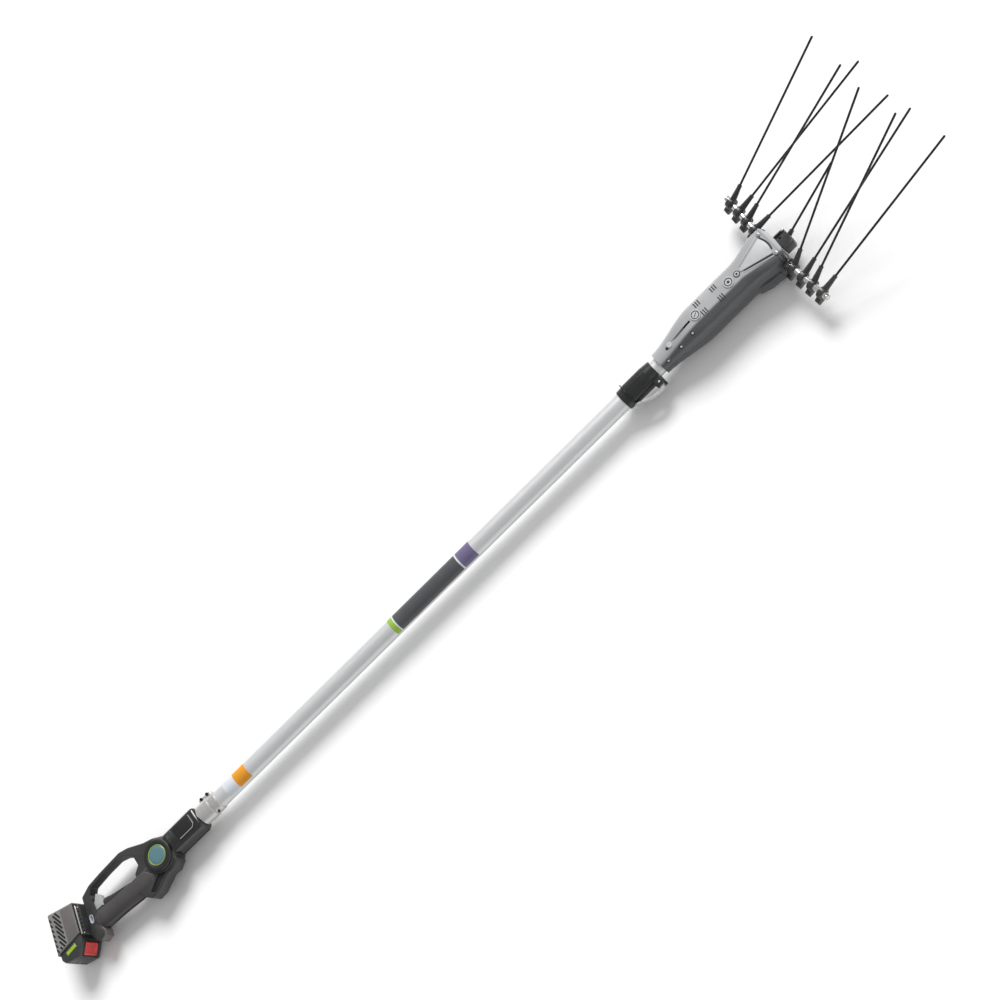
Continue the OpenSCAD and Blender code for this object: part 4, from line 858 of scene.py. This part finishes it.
def makeCollar():
    c = collar
    wall = [(c["bore"], 0), (c["endR"] - 1, 0), (c["endR"], 1.2), (c["endR"] + 0.4, 8), (c["r"], 20), (c["r"], 64),
            (c["endR"] + 0.5, 75), (c["endR"], 83.6), (c["endR"] - 1.2, c["len"]), (c["mouth"], c["len"]),
            (c["mouth"], c["grip"] + 0.2), (c["bore"], c["grip"] + 0.2)]
    body = shift(addTurned("poleCollar", wall, 80, True), moved(c["x"], 0) @ turned("Y", 90))
    x0, x1 = c["pivot"][0] - c["earHalf"], c["pivot"][0] + c["earHalf"]
    for side in (-1, 1):
        low, high = sorted((side * c["earZ"][0], side * c["earZ"][1]))
        ear = roundEdges(addBlock("ear", (x0, c["earOut"], low), (x1, c["earIn"], high)), 1.6, 3)
        cutOut(ear, addRod("bore", (1100, 0, 0), (1300, 0, 0), 20.5, sides=80))
        weld(body, ear)
    for i in range(c["flutes"]):
        if abs(i - 0.25 * c["flutes"]) <= 1:
            continue
        flute = addRod("flute", (c["x"] + 18, 0, c["r"] + 1), (c["x"] + 67, 0, c["r"] + 1), c["fluteR"], sides=24)
        cutOut(body, shift(flute, turned("X", i * 360 / c["flutes"])))
    for x in (c["x"] + 11, c["x"] + 15):
        band = shift(addTurned("band", [(c["r"] - 1.1, -0.5), (c["r"] + 5, -0.5), (c["r"] + 5, 0.5), (c["r"] - 1.1, 0.5)], 80, True),
                     moved(x, 0) @ turned("Y", 90))
        cutOut(body, band)
    pin = addRod("pinHole", (*c["pivot"], -50), (*c["pivot"], 50), c["pinR"], sides=32)
    cutOut(body, pin)
    finish(body, poleFrame, "handle", collarBlack, ("collar",))
    rivet = roundEdges(addRod("leverPin", (*c["pivot"], -11.5), (*c["pivot"], 11.5), 2.5, sides=32), 0.4, 2)
    finish(rivet, poleFrame, "handle", gearSteel, ("lever_pin",))


lever = {"half": 5.9, "eyeR": 4.9, "edge": 0.9, "boreR": 2.56}
leverOutline = [(4.6, -1), (4.4, -6), (3, -9.6), (0, -11.9), (-7, -12.9), (-16, -13.3), (-25, -12.6), (-34, -10.5), (-43, -6.9), (-54, -2),
                (-62.5, 1), (-64, 2.6), (-63.6, 5), (-62, 5.3), (-54, 2), (-43, -2.8), (-34, -6.5), (-25, -8.6), (-16, -9.3), (-9, -8.4),
                (-4.6, -4), (-2.4, 2)]


def makeLever():
    strap = roundEdges(addPlate("quickLever", leverOutline, -lever["half"], lever["half"]), lever["edge"], 3, 40)
    eye = roundEdges(addRod("eye", (0, 0, -lever["half"]), (0, 0, lever["half"]), lever["eyeR"], sides=48), 0.8, 3)
    weld(strap, eye)
    cutOut(strap, addRod("bore", (0, 0, -30), (0, 0, 30), lever["boreR"], sides=48))
    finish(strap, poleFrame @ moved(*collar["pivot"]), "lever", castSilver, ("lever",))


makePole()
makeClamp()
makeCollar()
makeLever()
print("pole made")


# Head: a loft through rounded sections, hollow, parted along the bar's height

head = {"len": 305, "wall": 2.8, "split": 10, "seam": 0.25, "cavity": 0.26, "steps": 56, "arc": 10, "tubeR": 17.45, "boreR": 15.9,
        "tubeHold": 66.2, "bearingR": 11.2}
# Share of the length, half width, top, bottom and corner radius
headSections = [(0, 22, 27, 22, 20), (0.36, 33, 44, 35.5, 22), (0.7155, 33, 44, 35.5, 22), (0.9626, 42, 44, 38.5, 10),
                (1, 42, 44, 38.5, 10)]
bearingAt = (head["len"] - tool["barBack"], tool["barZ"])


def headRing(share, inset, x):
    wide, top, low, r = between(headSections, share)
    ring = []
    for corner in range(4):
        rc = (r if corner < 2 else min(1.4 * r, wide, low)) - inset
        w = (wide - inset - rc) * (1 if corner in (0, 3) else -1)
        h = top - inset - rc if corner < 2 else rc + inset - low
        for k in range(head["arc"] + 1):
            turn = math.pi / 2 * (corner + k / head["arc"])
            ring.append((x, w + rc * math.cos(turn), h + rc * math.sin(turn)))
    return ring


def headForm(name, inset, start, overrun):
    shares = [start + (1 - start) * j / head["steps"] for j in range(head["steps"] + 1)]
    return addLoft(name, [headRing(s, inset, s * head["len"] + (overrun if j == head["steps"] else 0)) for j, s in enumerate(shares)])


def headTop(x):
    return between(headSections, x / head["len"])[1]


def makeHeadHalf(name, up, material, node, slotName):
    shell = headForm(name, 0, 0, 0)
    cutOut(shell, headForm("cavity", head["wall"], head["cavity"], 5),
           addRod("socket", (-5, 0, 0), (head["tubeHold"], 0, 0), head["tubeR"], sides=64),
           addRod("passage", (-5, 0, 0), (110, 0, 0), head["boreR"], sides=64))
    x, z = bearingAt
    cutOut(shell, addRod("seat", (x, -99, z), (x, 99, z), head["bearingR"], sides=64))
    edge = head["split"] + (head["seam"] if up else -head["seam"])
    sliceOff(shell, (0, 0, edge), (0, 0, -1 if up else 1))
    return shell


# Grooves, dimples and rib groups of the upper half go where the photo shows them: the slider groove, keyhole and boss
# seats are cut in, the rib slots are black blocks of painted groove shade and the dimples are dark discs of painted
# shade round their screws, made with the bosses

boss = {"shares": (0.6537, 0.3706)}
slotGrooves = [(171, 15), (171, -12), (129, 16), (130, -8)]
dimples = [(86, -1, 60), (53, -1, 50), (17, -1, 42)]


def makeHeadTop():
    shell = makeHeadHalf("headUpper", True, headGrey, "head_upper_shell", "head_grey")
    cutOut(shell, addPlate("slider", stripOutline([(42, 0), (98, 0)], 4.6), 33, 60))
    cutOut(shell, addRod("keyhole", (31, -1, 20), (31, -1, 60), 3.6, sides=24))
    for share in boss["shares"]:
        cutOut(shell, addRod("seat", (share * head["len"], 0, 42.6), (share * head["len"], 0, 60), 11.7, sides=48))
    finish(shell, headFrame, "head", headGrey, ("head_upper_shell",))
    # Painted shade: each slot is a black block standing a little proud, in place of a cut groove's shadow
    slotShades = []
    for x, y in slotGrooves:
        wide, top, low, r = between(headSections, x / head["len"])
        lean = math.asin(max(0, abs(y) - wide + r) / r)
        place = moved(x, y, top - r + r * math.cos(lean)) @ turned("X", math.degrees(-lean if y > 0 else lean))
        for k in (-1, 0, 1):
            slotShades.append(shift(addBlock("slot", (5 * k - 1.1, -6, -1.5), (5 * k + 1.1, 6, 0.15)), place))
    finish(gather("headSlotShade", slotShades), headFrame, "head", channelBlack)


def makeHeadLow():
    shell = makeHeadHalf("headLower", False, headDark, "head_lower_shell", "head_dark")
    finish(shell, headFrame, "head", headDark, ("head_lower_shell",))
    boxes = []
    for side in (-1, 1):
        outline = [(222, 20), (229, 34), (252, 41), (283, 44.4), (283, 20)]
        bulge = addPlate("bulge", [(x, side * y) for x, y in outline], -24, 4)
        boxes.append(roundEdges(bulge, 2.5, 3, 25))
    finish(gather("headSideBoxes", boxes), headFrame, "head", headDark)


# Raised parts of the top: panel with its groove as dark strips of painted shade, bosses, knob, rims and screws

panel = {"tipX": 229, "frontX": 299.8, "half": 21.8, "low": 44.05, "top": 45.7, "bow": 5}


def makePanel():
    p = panel
    front = [(p["frontX"] - p["bow"] + p["bow"] * math.cos(math.radians(90 * k / 6)) * 1.0, p["half"] * k / 6) for k in range(-6, 7)]
    outline = [(p["tipX"], -2.4)] + front + [(p["tipX"], 2.4)]
    plate = roundEdges(roundCorners(addPlate("topPanel", outline, p["low"], p["top"]), 1.5, 3), 0.5, 2, 50)
    finish(plate, headFrame, "head", panelGrey, ("top_panel",))
    # Painted shade: flat black strips lie along the panel's edges in place of the groove's shadow
    grooves = [stripOutline([(p["tipX"] + 6, -4.2), (p["frontX"] - 5, -p["half"] - 2.2)], 4.6),
               stripOutline([(x + 2.1, y) for x, y in front[2:]], 3.6)]
    dark = [addPlate("groove", line, p["low"] - 0.4, p["low"] + 0.35) for line in grooves]
    finish(gather("panelGrooveShade", dark), headFrame, "head", channelBlack)
    rims = [stripOutline([(p["tipX"] + 4, side * 8), (p["frontX"] - 6, side * (p["half"] + 5.4))], 1.8) for side in (-1, 1)]
    raised = [roundEdges(addPlate("rim", line, p["low"] - 0.6, p["low"] + 0.9), 0.5, 2) for line in rims]
    finish(gather("panelRims", raised), headFrame, "head", panelGrey)


def makeBosses():
    ringed = [(0, 42.7), (11.4, 42.7), (11.4, 45), (10.6, 45.9), (9.2, 46), (8.2, 45.2), (6.6, 45.2), (6, 45.8), (3.2, 45.8),
              (2.8, 44.4), (0, 44.4)]
    slotted = [(0, 42.7), (11.4, 42.7), (11.4, 45), (10.6, 45.9), (8.8, 46), (7.8, 44.6), (7, 44.6), (6.6, 45.6), (0, 45.7)]
    first = shift(addTurned("bossRinged", ringed, 56), moved(boss["shares"][0] * head["len"], 0))
    second = addTurned("bossSlotted", slotted, 56)
    cutOut(second, shift(addBlock("slot", (-5, -0.9, 45), (5, 0.9, 50)), turned("Z", 30)))
    shift(second, moved(boss["shares"][1] * head["len"], 0))
    finish(gather("headBosses", [first, second]), headFrame, "head", panelGrey, ("head_bosses",))
    # Painted shade: black rings fill the bosses' grooves and the gap round the tip screw, and a black block fills the
    # boss's slot
    rings = []
    for share, inner, outer, level in ((boss["shares"][0], 6.5, 9.3, 45.32), (boss["shares"][1], 6.5, 8.9, 45.32)):
        profile = [(inner, 44), (outer, 44), (outer, level), (inner, level)]
        rings.append(shift(addTurned("ring", profile, 48, True), moved(share * head["len"], 0)))
    rings.append(shift(addTurned("ring", [(5.1, 43), (6.9, 43), (6.9, 44.3), (5.1, 44.3)], 40, True), moved(221, 0)))
    rings.append(shift(addBlock("bossSlotShade", (-5, -0.9, 44.6), (5, 0.9, 45.4)), moved(boss["shares"][1] * head["len"], 0) @ turned("Z", 30)))
    finish(gather("bossGrooveShade", rings), headFrame, "head", channelBlack)
    # Painted shade: a black disc in the boss's hole stands in for the shade inside it
    dot = addRod("bossHoleShade", (boss["shares"][0] * head["len"], 0, 44.2), (boss["shares"][0] * head["len"], 0, 44.7), 2.6, sides=32)
    finish(dot, headFrame, "head", channelBlack)
    knobTop = headTop(39)
    knob = [(0, -4), (5.8, -4), (5.8, 0.9), (4.8, 1.8), (2, 1.8), (1.5, 1.1), (0, 1.1)]
    finish(addTurned("sliderKnob", knob, 40), headFrame @ moved(39, 0, knobTop), "head", panelGrey)
    eyelet = [(0, -1), (5, -1), (5, 0.7), (4, 1.4), (2.6, 1.4), (2.2, 0.4), (0, 0.4)]
    finish(addTurned("tipScrew", eyelet, 40), headFrame @ moved(221, 0, 44), "head", panelGrey)
    # Painted shade: a black disc in the tip screw's hole stands in for the shade inside it
    hole = addRod("tipHoleShade", (221, 0, 44.2), (221, 0, 44.6), 2.1, sides=24)
    finish(hole, headFrame, "head", channelBlack)
    heads = []
    for side in (-1, 1):
        x, y = 0.9832 * head["len"], side * 27
        cap = roundEdges(addRod("screwHead", (x, y, 44.1), (x, y, 46.6), 4, sides=32), 0.7, 3)
        cutOut(cap, addRod("socket", (x, y, 45.6), (x, y, 50), 2, sides=6))
        heads += [cap, addRod("shank", (x, y, 35.1), (x, y, 44.2), 2, sides=24)]
    finish(gather("headScrews", heads), headFrame, "head", gearSteel, ("head_screws",))
    # Painted shade: each dimple is a dark disc round its screw instead of a sunk pit
    pitShades, screws = [], []
    for x, side, lean in dimples:
        wide, top, low, r = between(headSections, x / head["len"])
        c, s = math.cos(math.radians(lean)), math.sin(math.radians(lean))
        place, out = Vector((x, side * (wide - r + r * c), top - r + r * s)), Vector((0, side * c, s))
        pitShades.append(addRod("pit", place - out * 1.5, place + out * 0.3, 4.4, sides=28))
        screws.append(roundEdges(addRod("pitScrew", place - out, place + out * 0.9, 2.4, sides=24), 0.5, 2))
    finish(gather("headPitShade", pitShades), headFrame, "head", channelBlack)
    finish(gather("pitScrews", screws), headFrame, "head", panelGrey)


# Front cap with a soft shoulder, and the bearing blocks at its sides

bracket = {"x0": 315.9, "x1": 341.8, "half": 19, "z": 1, "up": 12, "rise": 31, "sleeve": 26, "tine": 156, "boreR": 2.4}
cap = {"x0": 305.2, "x1": 315.7, "edge": 4.5, "bow": 8.5, "split": 12}


def roundedFront(half, top, low, r, steps=8):
    out = []
    for corner in range(4):
        for k in range(steps + 1):
            t = math.pi / 2 * (corner + k / steps)
            out.append(((half - r if corner in (0, 3) else r - half) + r * math.cos(t), (top - r if corner < 2 else r - low) + r * math.sin(t)))
    return out


# Lays a plate drawn in XY across the head: X to the side, Y up, Z forward
acrossHead = Matrix(((0, 0, 1, 0), (1, 0, 0, 0), (0, 1, 0, 0), (0, 0, 0, 1)))


def makeFront():
    x, z = bearingAt
    steps = 10
    bowed = [(cap["x1"] - cap["bow"] * (k / steps) ** 2, 43 * k / steps) for k in range(-steps, steps + 1)]
    for name, up, material in (("frontHood", True, headGrey), ("frontBlock", False, holderBlack)):
        plate = shift(addPlate(name, roundedFront(42, 44, 38.5, 10), cap["x0"], cap["x1"] + 1), acrossHead)
        boolean(plate, addPlate("plan", [(cap["x0"] - 5, -43)] + bowed + [(cap["x0"] - 5, 43)], -60, 60), "INTERSECT")
        sliceOff(plate, (0, 0, cap["split"]), (0, 0, -1 if up else 1))
        roundEdges(plate, cap["edge"] if up else 1, 4, 50)
        cutOut(plate, addRod("seat", (x, -99, z), (x, 99, z), head["bearingR"], sides=64),
               addRod("stud", (300, 0, bracket["z"]), (340, 0, bracket["z"]), 5.2, sides=32))
        finish(plate, headFrame, "head", material, ("front_cap",) if up else ())
    # Painted shade: thin black bands on the flanks stand in for the shadow in the seams at the front
    lines = []
    for x, grow in ((296, 0.35), (303.6, 0.25)):
        band = shift(addPlate("line", roundedFront(42 + grow, 44 + grow, 38.5 + grow, 10 + grow), x, x + 1.1), acrossHead)
        cutOut(band, shift(addPlate("inside", roundedFront(41.4, 43.4, 37.9, 9.4), x - 5, x + 6), acrossHead))
        cutOut(band, addRod("seat", (bearingAt[0], -99, bearingAt[1]), (bearingAt[0], 99, bearingAt[1]), 14.4, sides=64))
        cutOut(band, addBlock("top", (x - 9, -37, 20), (x + 9, 37, 90)))
        lines.append(band)
    finish(gather("frontSeamShade", lines), headFrame, "head", channelBlack)
    for side, name, node in ((1, "bearingLeft", "bearing_left"), (-1, "bearingRight", "bearing_right")):
        profile = [(7.05, 34), (11, 34), (11, 42.2), (13.4, 42.2), (14, 42.8), (14, 45), (13, 46.1), (9, 46.1), (8.2, 45.4), (7.05, 45.4)]
        ring = addTurned(name, profile, 64, True)
        place = headFrame @ moved(bearingAt[0], 0, bearingAt[1]) @ turned("X", -90 * side)
        finish(ring, place, "head", holderBlack, (node,))


# Centre bracket with an eye, a slot and a bright pin beside it, and its short tine

bracketFrame = headFrame @ moved((bracket["x0"] + bracket["x1"]) / 2, 0, bracket["z"]) @ turned("Y", 90 - bracket["rise"])


def taperedSleeve(name, start, end, rootR, tipR):
    profile = [(0, start), (rootR, start), (rootR - 0.2, start + 2), (tipR + 0.2, end - 4), (tipR + 0.5, end - 3), (tipR + 0.5, end - 0.8),
               (tipR, end), (0, end)]
    return addTurned(name, profile, 40)


def tineRod(name, start, end, r):
    return addTurned(name, [(0, start), (r, start), (r, end - r), (r * 0.87, end - r * 0.5), (r * 0.5, end - r * 0.13), (0, end)], 28)


def makeBracket():
    b = bracket
    outline = [(b["x0"], -b["half"]), (b["x1"] - 4, -b["half"]), (b["x1"], -b["half"] + 5), (b["x1"], b["half"] - 2), (b["x1"] - 2, b["half"]),
               (b["x0"], b["half"])]
    body = roundEdges(addPlate("centreBracket", outline, b["z"] - b["up"], b["z"] + b["up"]), 1.8, 3)
    cutOut(body, addRod("eye", (b["x0"] + 9, 7, b["z"] + 7), (b["x0"] + 9, 7, 60), 2.4, sides=32))
    cutOut(body, addBlock("slot", (b["x0"] + 3, 10.6, b["z"] + 7), (b["x0"] + 23, 12.4, 60)))
    toHead = headFrame.inverted() @ bracketFrame
    weld(body, shift(taperedSleeve("sleeve", 4, b["sleeve"], 6.5, 4.2), toHead))
    weld(body, addRod("stud", (312.8, 0, b["z"]), (b["x0"] + 4, 0, b["z"]), 5, sides=32))
    cutOut(body, shift(addRod("bore", (0, 0, 0), (0, 0, 60), b["boreR"], sides=32), toHead))
    finish(body, headFrame, "head", holderBlack, ("centre_bracket",))
    finish(tineRod("centreTine", 0.2, b["sleeve"] + b["tine"], 2.25), bracketFrame, "head", tineBlack, ("centre_tine",))
    top = b["z"] + b["up"] + 0.8
    pin = roundEdges(addRod("sidePin", (b["x0"] + 2, 15.4, top), (b["x0"] + 19, 15.4, top), 1.9, sides=24), 0.4, 2)
    finish(pin, headFrame, "head", channelBlack)
    end = roundEdges(addRod("sidePinEnd", (b["x0"] + 19.2, 15.4, top), (b["x0"] + 25, 15.4, top), 1.7, sides=24), 0.5, 2)
    finish(end, headFrame, "head", brightSteel)


makeHeadTop()
makeHeadLow()
makePanel()
makeBosses()
makeFront()
makeBracket()
print("head made")


# Comb: bar with two swept arms, nuts, eight holders with bolts and eight long tines

comb = {"barR": 7, "armR": 6.5, "half": 146, "endR": 4, "endLen": 6, "bendIn": 4, "first": 58, "pitch": 26, "leans": (-12, -3.5, -5, 2.5),
        "low": 22, "high": 33, "sleeve": 42, "tine": 366, "tineR": 2.25, "tineStart": 15}
nutShape = {"r": 6.5, "t": 6}
holder = {"r": 12, "half": 5.5, "edge": 1.2, "boreR": 6.65, "tineBoreR": 2.4, "boltX": -15.5}
jawOutline = [(-1, -9), (-5.5, -10.5), (-5, -17.2), (-7, -18.4), (-17.5, -18.4), (-19.4, -16.5), (-19.4, -8), (-15, -5.6), (-11, -3), (-8, 4)]
mirrorY = Matrix.Scale(-1, 4, (0, 1, 0))


def armFrame(side):
    flip = mirrorY if side < 0 else Matrix.Identity(4)
    return flip @ moved(0, tool["bendY"]) @ turned("Z", -tool["barSweep"])


def holderFrame(side, i):
    return armFrame(side) @ moved(0, comb["first"] - tool["bendY"] + comb["pitch"] * i)


def tineTurn(side, i):
    high = (i if side > 0 else i + 1) % 2 == 1
    return turned("Z", tool["barSweep"] + comb["leans"][i]) @ turned("Y", 90 - (comb["high"] if high else comb["low"]))


# Turns a plate drawn in XY so that X stays forward and Y points up
upright = turned("X", 90)


def makeHolder(side, i):
    h = holder
    saddle = roundEdges(addRod("holder", (0, -h["half"], 0), (0, h["half"], 0), h["r"], sides=56), h["edge"], 3)
    jaw = shift(addPlate("jaw", jawOutline, -h["half"], h["half"]), upright)
    weld(saddle, roundEdges(jaw, 1, 3, 30))
    turn = tineTurn(side, i)
    weld(saddle, shift(taperedSleeve("sleeve", 7, comb["sleeve"], 6.5, 4), turn))
    fin = [(2, 9), (9, 6.5), (30, 4.6), (30, -4.6), (9, -8), (2, -9)]
    web = shift(addPlate("web", [(y, x) for x, y in fin], -1.6, 1.6), turned("X", 90))
    weld(saddle, roundEdges(shift(web, turn), 0.5, 2))
    cutOut(saddle, addRod("bore", (0, -30, 0), (0, 30, 0), h["boreR"], sides=56),
           shift(addRod("tineBore", (0, 0, comb["tineStart"] - 0.2), (0, 0, 80), h["tineBoreR"], sides=28), turn),
           addRod("boltBore", (h["boltX"], 0, -40), (h["boltX"], 0, 4), 2.2, sides=24))
    return shift(saddle, holderFrame(side, i))


def makeComb():
    pieces = [addRod("barMiddle", (0, -tool["bendY"], 0), (0, tool["bendY"], 0), comb["barR"], sides=56)]
    nuts = []
    for side in (1, -1):
        length = comb["half"] - tool["bendY"]
        arm = roundEdges(addRod("arm", (0, -comb["bendIn"], 0), (0, length, 0), comb["armR"], sides=56), 0.6, 2)
        end = roundEdges(addRod("end", (0, length - 2, 0), (0, length + comb["endLen"], 0), comb["endR"], sides=40), 0.8, 2)
        pieces += [shift(arm, armFrame(side)), shift(end, armFrame(side))]
        nut = roundEdges(addRod("nut", (0, length + 0.2, 0), (0, length + nutShape["t"], 0), nutShape["r"], sides=6), 0.7, 3, 20)
        cutOut(nut, addRod("thread", (0, 0, 0), (0, 200, 0), comb["endR"] + 0.1, sides=40))
        nuts.append(shift(nut, armFrame(side)))
    bar = weld(*pieces)
    finish(bar, barFrame, "comb", brightSteel, ("comb_bar",))
    finish(gather("barNuts", nuts), barFrame, "comb", brightSteel, ("bar_nuts",))
    bolts = []
    for side, name, node, rods in ((1, "Left", "holders_left", "tines_left"), (-1, "Right", "holders_right", "tines_right")):
        finish(gather("tineHolders" + name, [makeHolder(side, i) for i in range(4)]), barFrame, "comb", holderBlack, (node,))
        tines = [shift(tineRod("tine", comb["tineStart"], comb["tine"], comb["tineR"]), holderFrame(side, i) @ tineTurn(side, i)) for i in range(4)]
        finish(gather("tines" + name, tines), barFrame, "comb", tineBlack, (rods,))
        for i in range(4):
            x = holder["boltX"]
            shank = addRod("shank", (x, 0, -18.7), (x, 0, -5.6), 2, sides=24)
            top = roundEdges(addRod("boltHead", (x, 0, -20.6), (x, 0, -18.6), 4, sides=32), 0.5, 2)
            bolts += [shift(shank, holderFrame(side, i)), shift(top, holderFrame(side, i))]
    finish(gather("holderBolts", bolts), barFrame, "comb", darkSteel, ("holder_bolts",))


makeComb()
print("comb made")


# CAD parts that stay keep their shape and get a material of their own

kept = {"trigger_pin": gearSteel, "trigger_spring": gearSteel, "trigger_switch": channelBlack, "control_board": boardGreen,
        "battery_cells": cellBlue, "battery_contacts": brass, "release_spring": gearSteel, "pole_plug": channelBlack,
        "collar_liner": whiteVinyl, "inner_tube": poleSilver, "guide_bush": collarBlack, "motor_can": gearSteel, "rotor": gearSteel,
        "gear_plate": castSilver, "crank_gear": gearSteel, "yoke": castSilver}
for nodeName, material in kept.items():
    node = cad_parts[nodeName]
    node.data.materials.clear()
    node.data.materials.append(material)


# Camera from the photo: looking down on the tool, which lies across the picture

shot = {"toCamera": (0.16, -0.471, 0.8675), "roll": 44.67, "aimX": 877, "distance": 3877, "lens": 72, "sensor": 36, "pixels": 2000,
        "offset": (11.4, 11.8)}


def addCamera():
    toCamera = Vector(shot["toCamera"]).normalized()
    alongTool = (Vector((1, 0, 0)) - toCamera * toCamera.x).normalized()
    acrossTool = toCamera.cross(alongTool)
    c, s = math.cos(math.radians(shot["roll"])), math.sin(math.radians(shot["roll"]))
    right = alongTool * c - acrossTool * s
    up = alongTool * s + acrossTool * c
    aim = Vector((shot["aimX"] + shiftX, 0, axisZ))
    far, (offX, offY) = shot["distance"], shot["offset"]
    place = (aim + toCamera * far - right * (offX * far / shot["pixels"]) + up * (offY * far / shot["pixels"])) * mm
    deselectAll()
    bpy.ops.object.camera_add()
    camera = bpy.context.object
    camera.matrix_world = Matrix((right, up, toCamera)).transposed().to_4x4()
    camera.location = place
    camera.data.lens = shot["lens"]
    camera.data.sensor_width = shot["sensor"]
    camera.data.dof.use_dof = False
    camera.data.clip_end = 50
    bpy.context.scene.camera = camera


# White backdrop for the camera, a plain grey dome of light for everything else

light = {"dome": 0.46, "keyAt": (3.4, 5.0, 5.5), "keySpread": 30, "keyPower": 3.0, "fillAt": (1.6, -2.6, 2.2), "fillSize": 2.0,
         "fillPower": 10}


def addWorld():
    world = bpy.context.scene.world or bpy.data.worlds.new("backdrop")
    bpy.context.scene.world = world
    world.use_nodes = True
    tree = world.node_tree
    tree.nodes.clear()
    path = addNode(tree, "ShaderNodeLightPath")
    white = addNode(tree, "ShaderNodeBackground", {"Color": (1, 1, 1, 1), "Strength": 1.0})
    dome = addNode(tree, "ShaderNodeBackground", {"Color": (1, 1, 1, 1), "Strength": light["dome"]})
    seen = addNode(tree, "ShaderNodeMath", None, None, operation="MAXIMUM")
    tree.links.new(path.outputs["Is Camera Ray"], seen.inputs[0])
    tree.links.new(path.outputs["Is Transmission Ray"], seen.inputs[1])
    blend = addNode(tree, "ShaderNodeMixShader")
    tree.links.new(seen.outputs["Value"], blend.inputs[0])
    tree.links.new(dome.outputs["Background"], blend.inputs[1])
    tree.links.new(white.outputs["Background"], blend.inputs[2])
    out = addNode(tree, "ShaderNodeOutputWorld")
    tree.links.new(blend.outputs["Shader"], out.inputs["Surface"])


def addLamp(name, kind, at, power):
    deselectAll()
    bpy.ops.object.light_add(type=kind, location=at)
    lamp = bpy.context.object
    lamp.name = name
    lamp.rotation_euler = Vector(at).to_track_quat("Z", "Y").to_euler()
    lamp.data.energy = power
    return lamp.data


def addFloor():
    deselectAll()
    bpy.ops.mesh.primitive_plane_add(size=14, location=(0, 0, -0.0008))
    floor = bpy.context.object
    floor.name = "floor"
    mat, tree, surface = newMaterial("floorPaleMatte")
    surface.inputs["Base Color"].default_value = (0.97, 0.97, 0.97, 1)
    surface.inputs["Roughness"].default_value = 0.9
    floor.data.materials.append(mat)


addCamera()
addWorld()
key = addLamp("keyLight", "SUN", light["keyAt"], light["keyPower"])
key.angle = math.radians(light["keySpread"])  # as wide as an overcast patch of sky, for soft shadows
fill = addLamp("fillLight", "AREA", light["fillAt"], light["fillPower"])
fill.shape = "DISK"
fill.size = light["fillSize"]
addFloor()
bpy.context.scene.view_settings.view_transform = "Standard"
print("stage made")
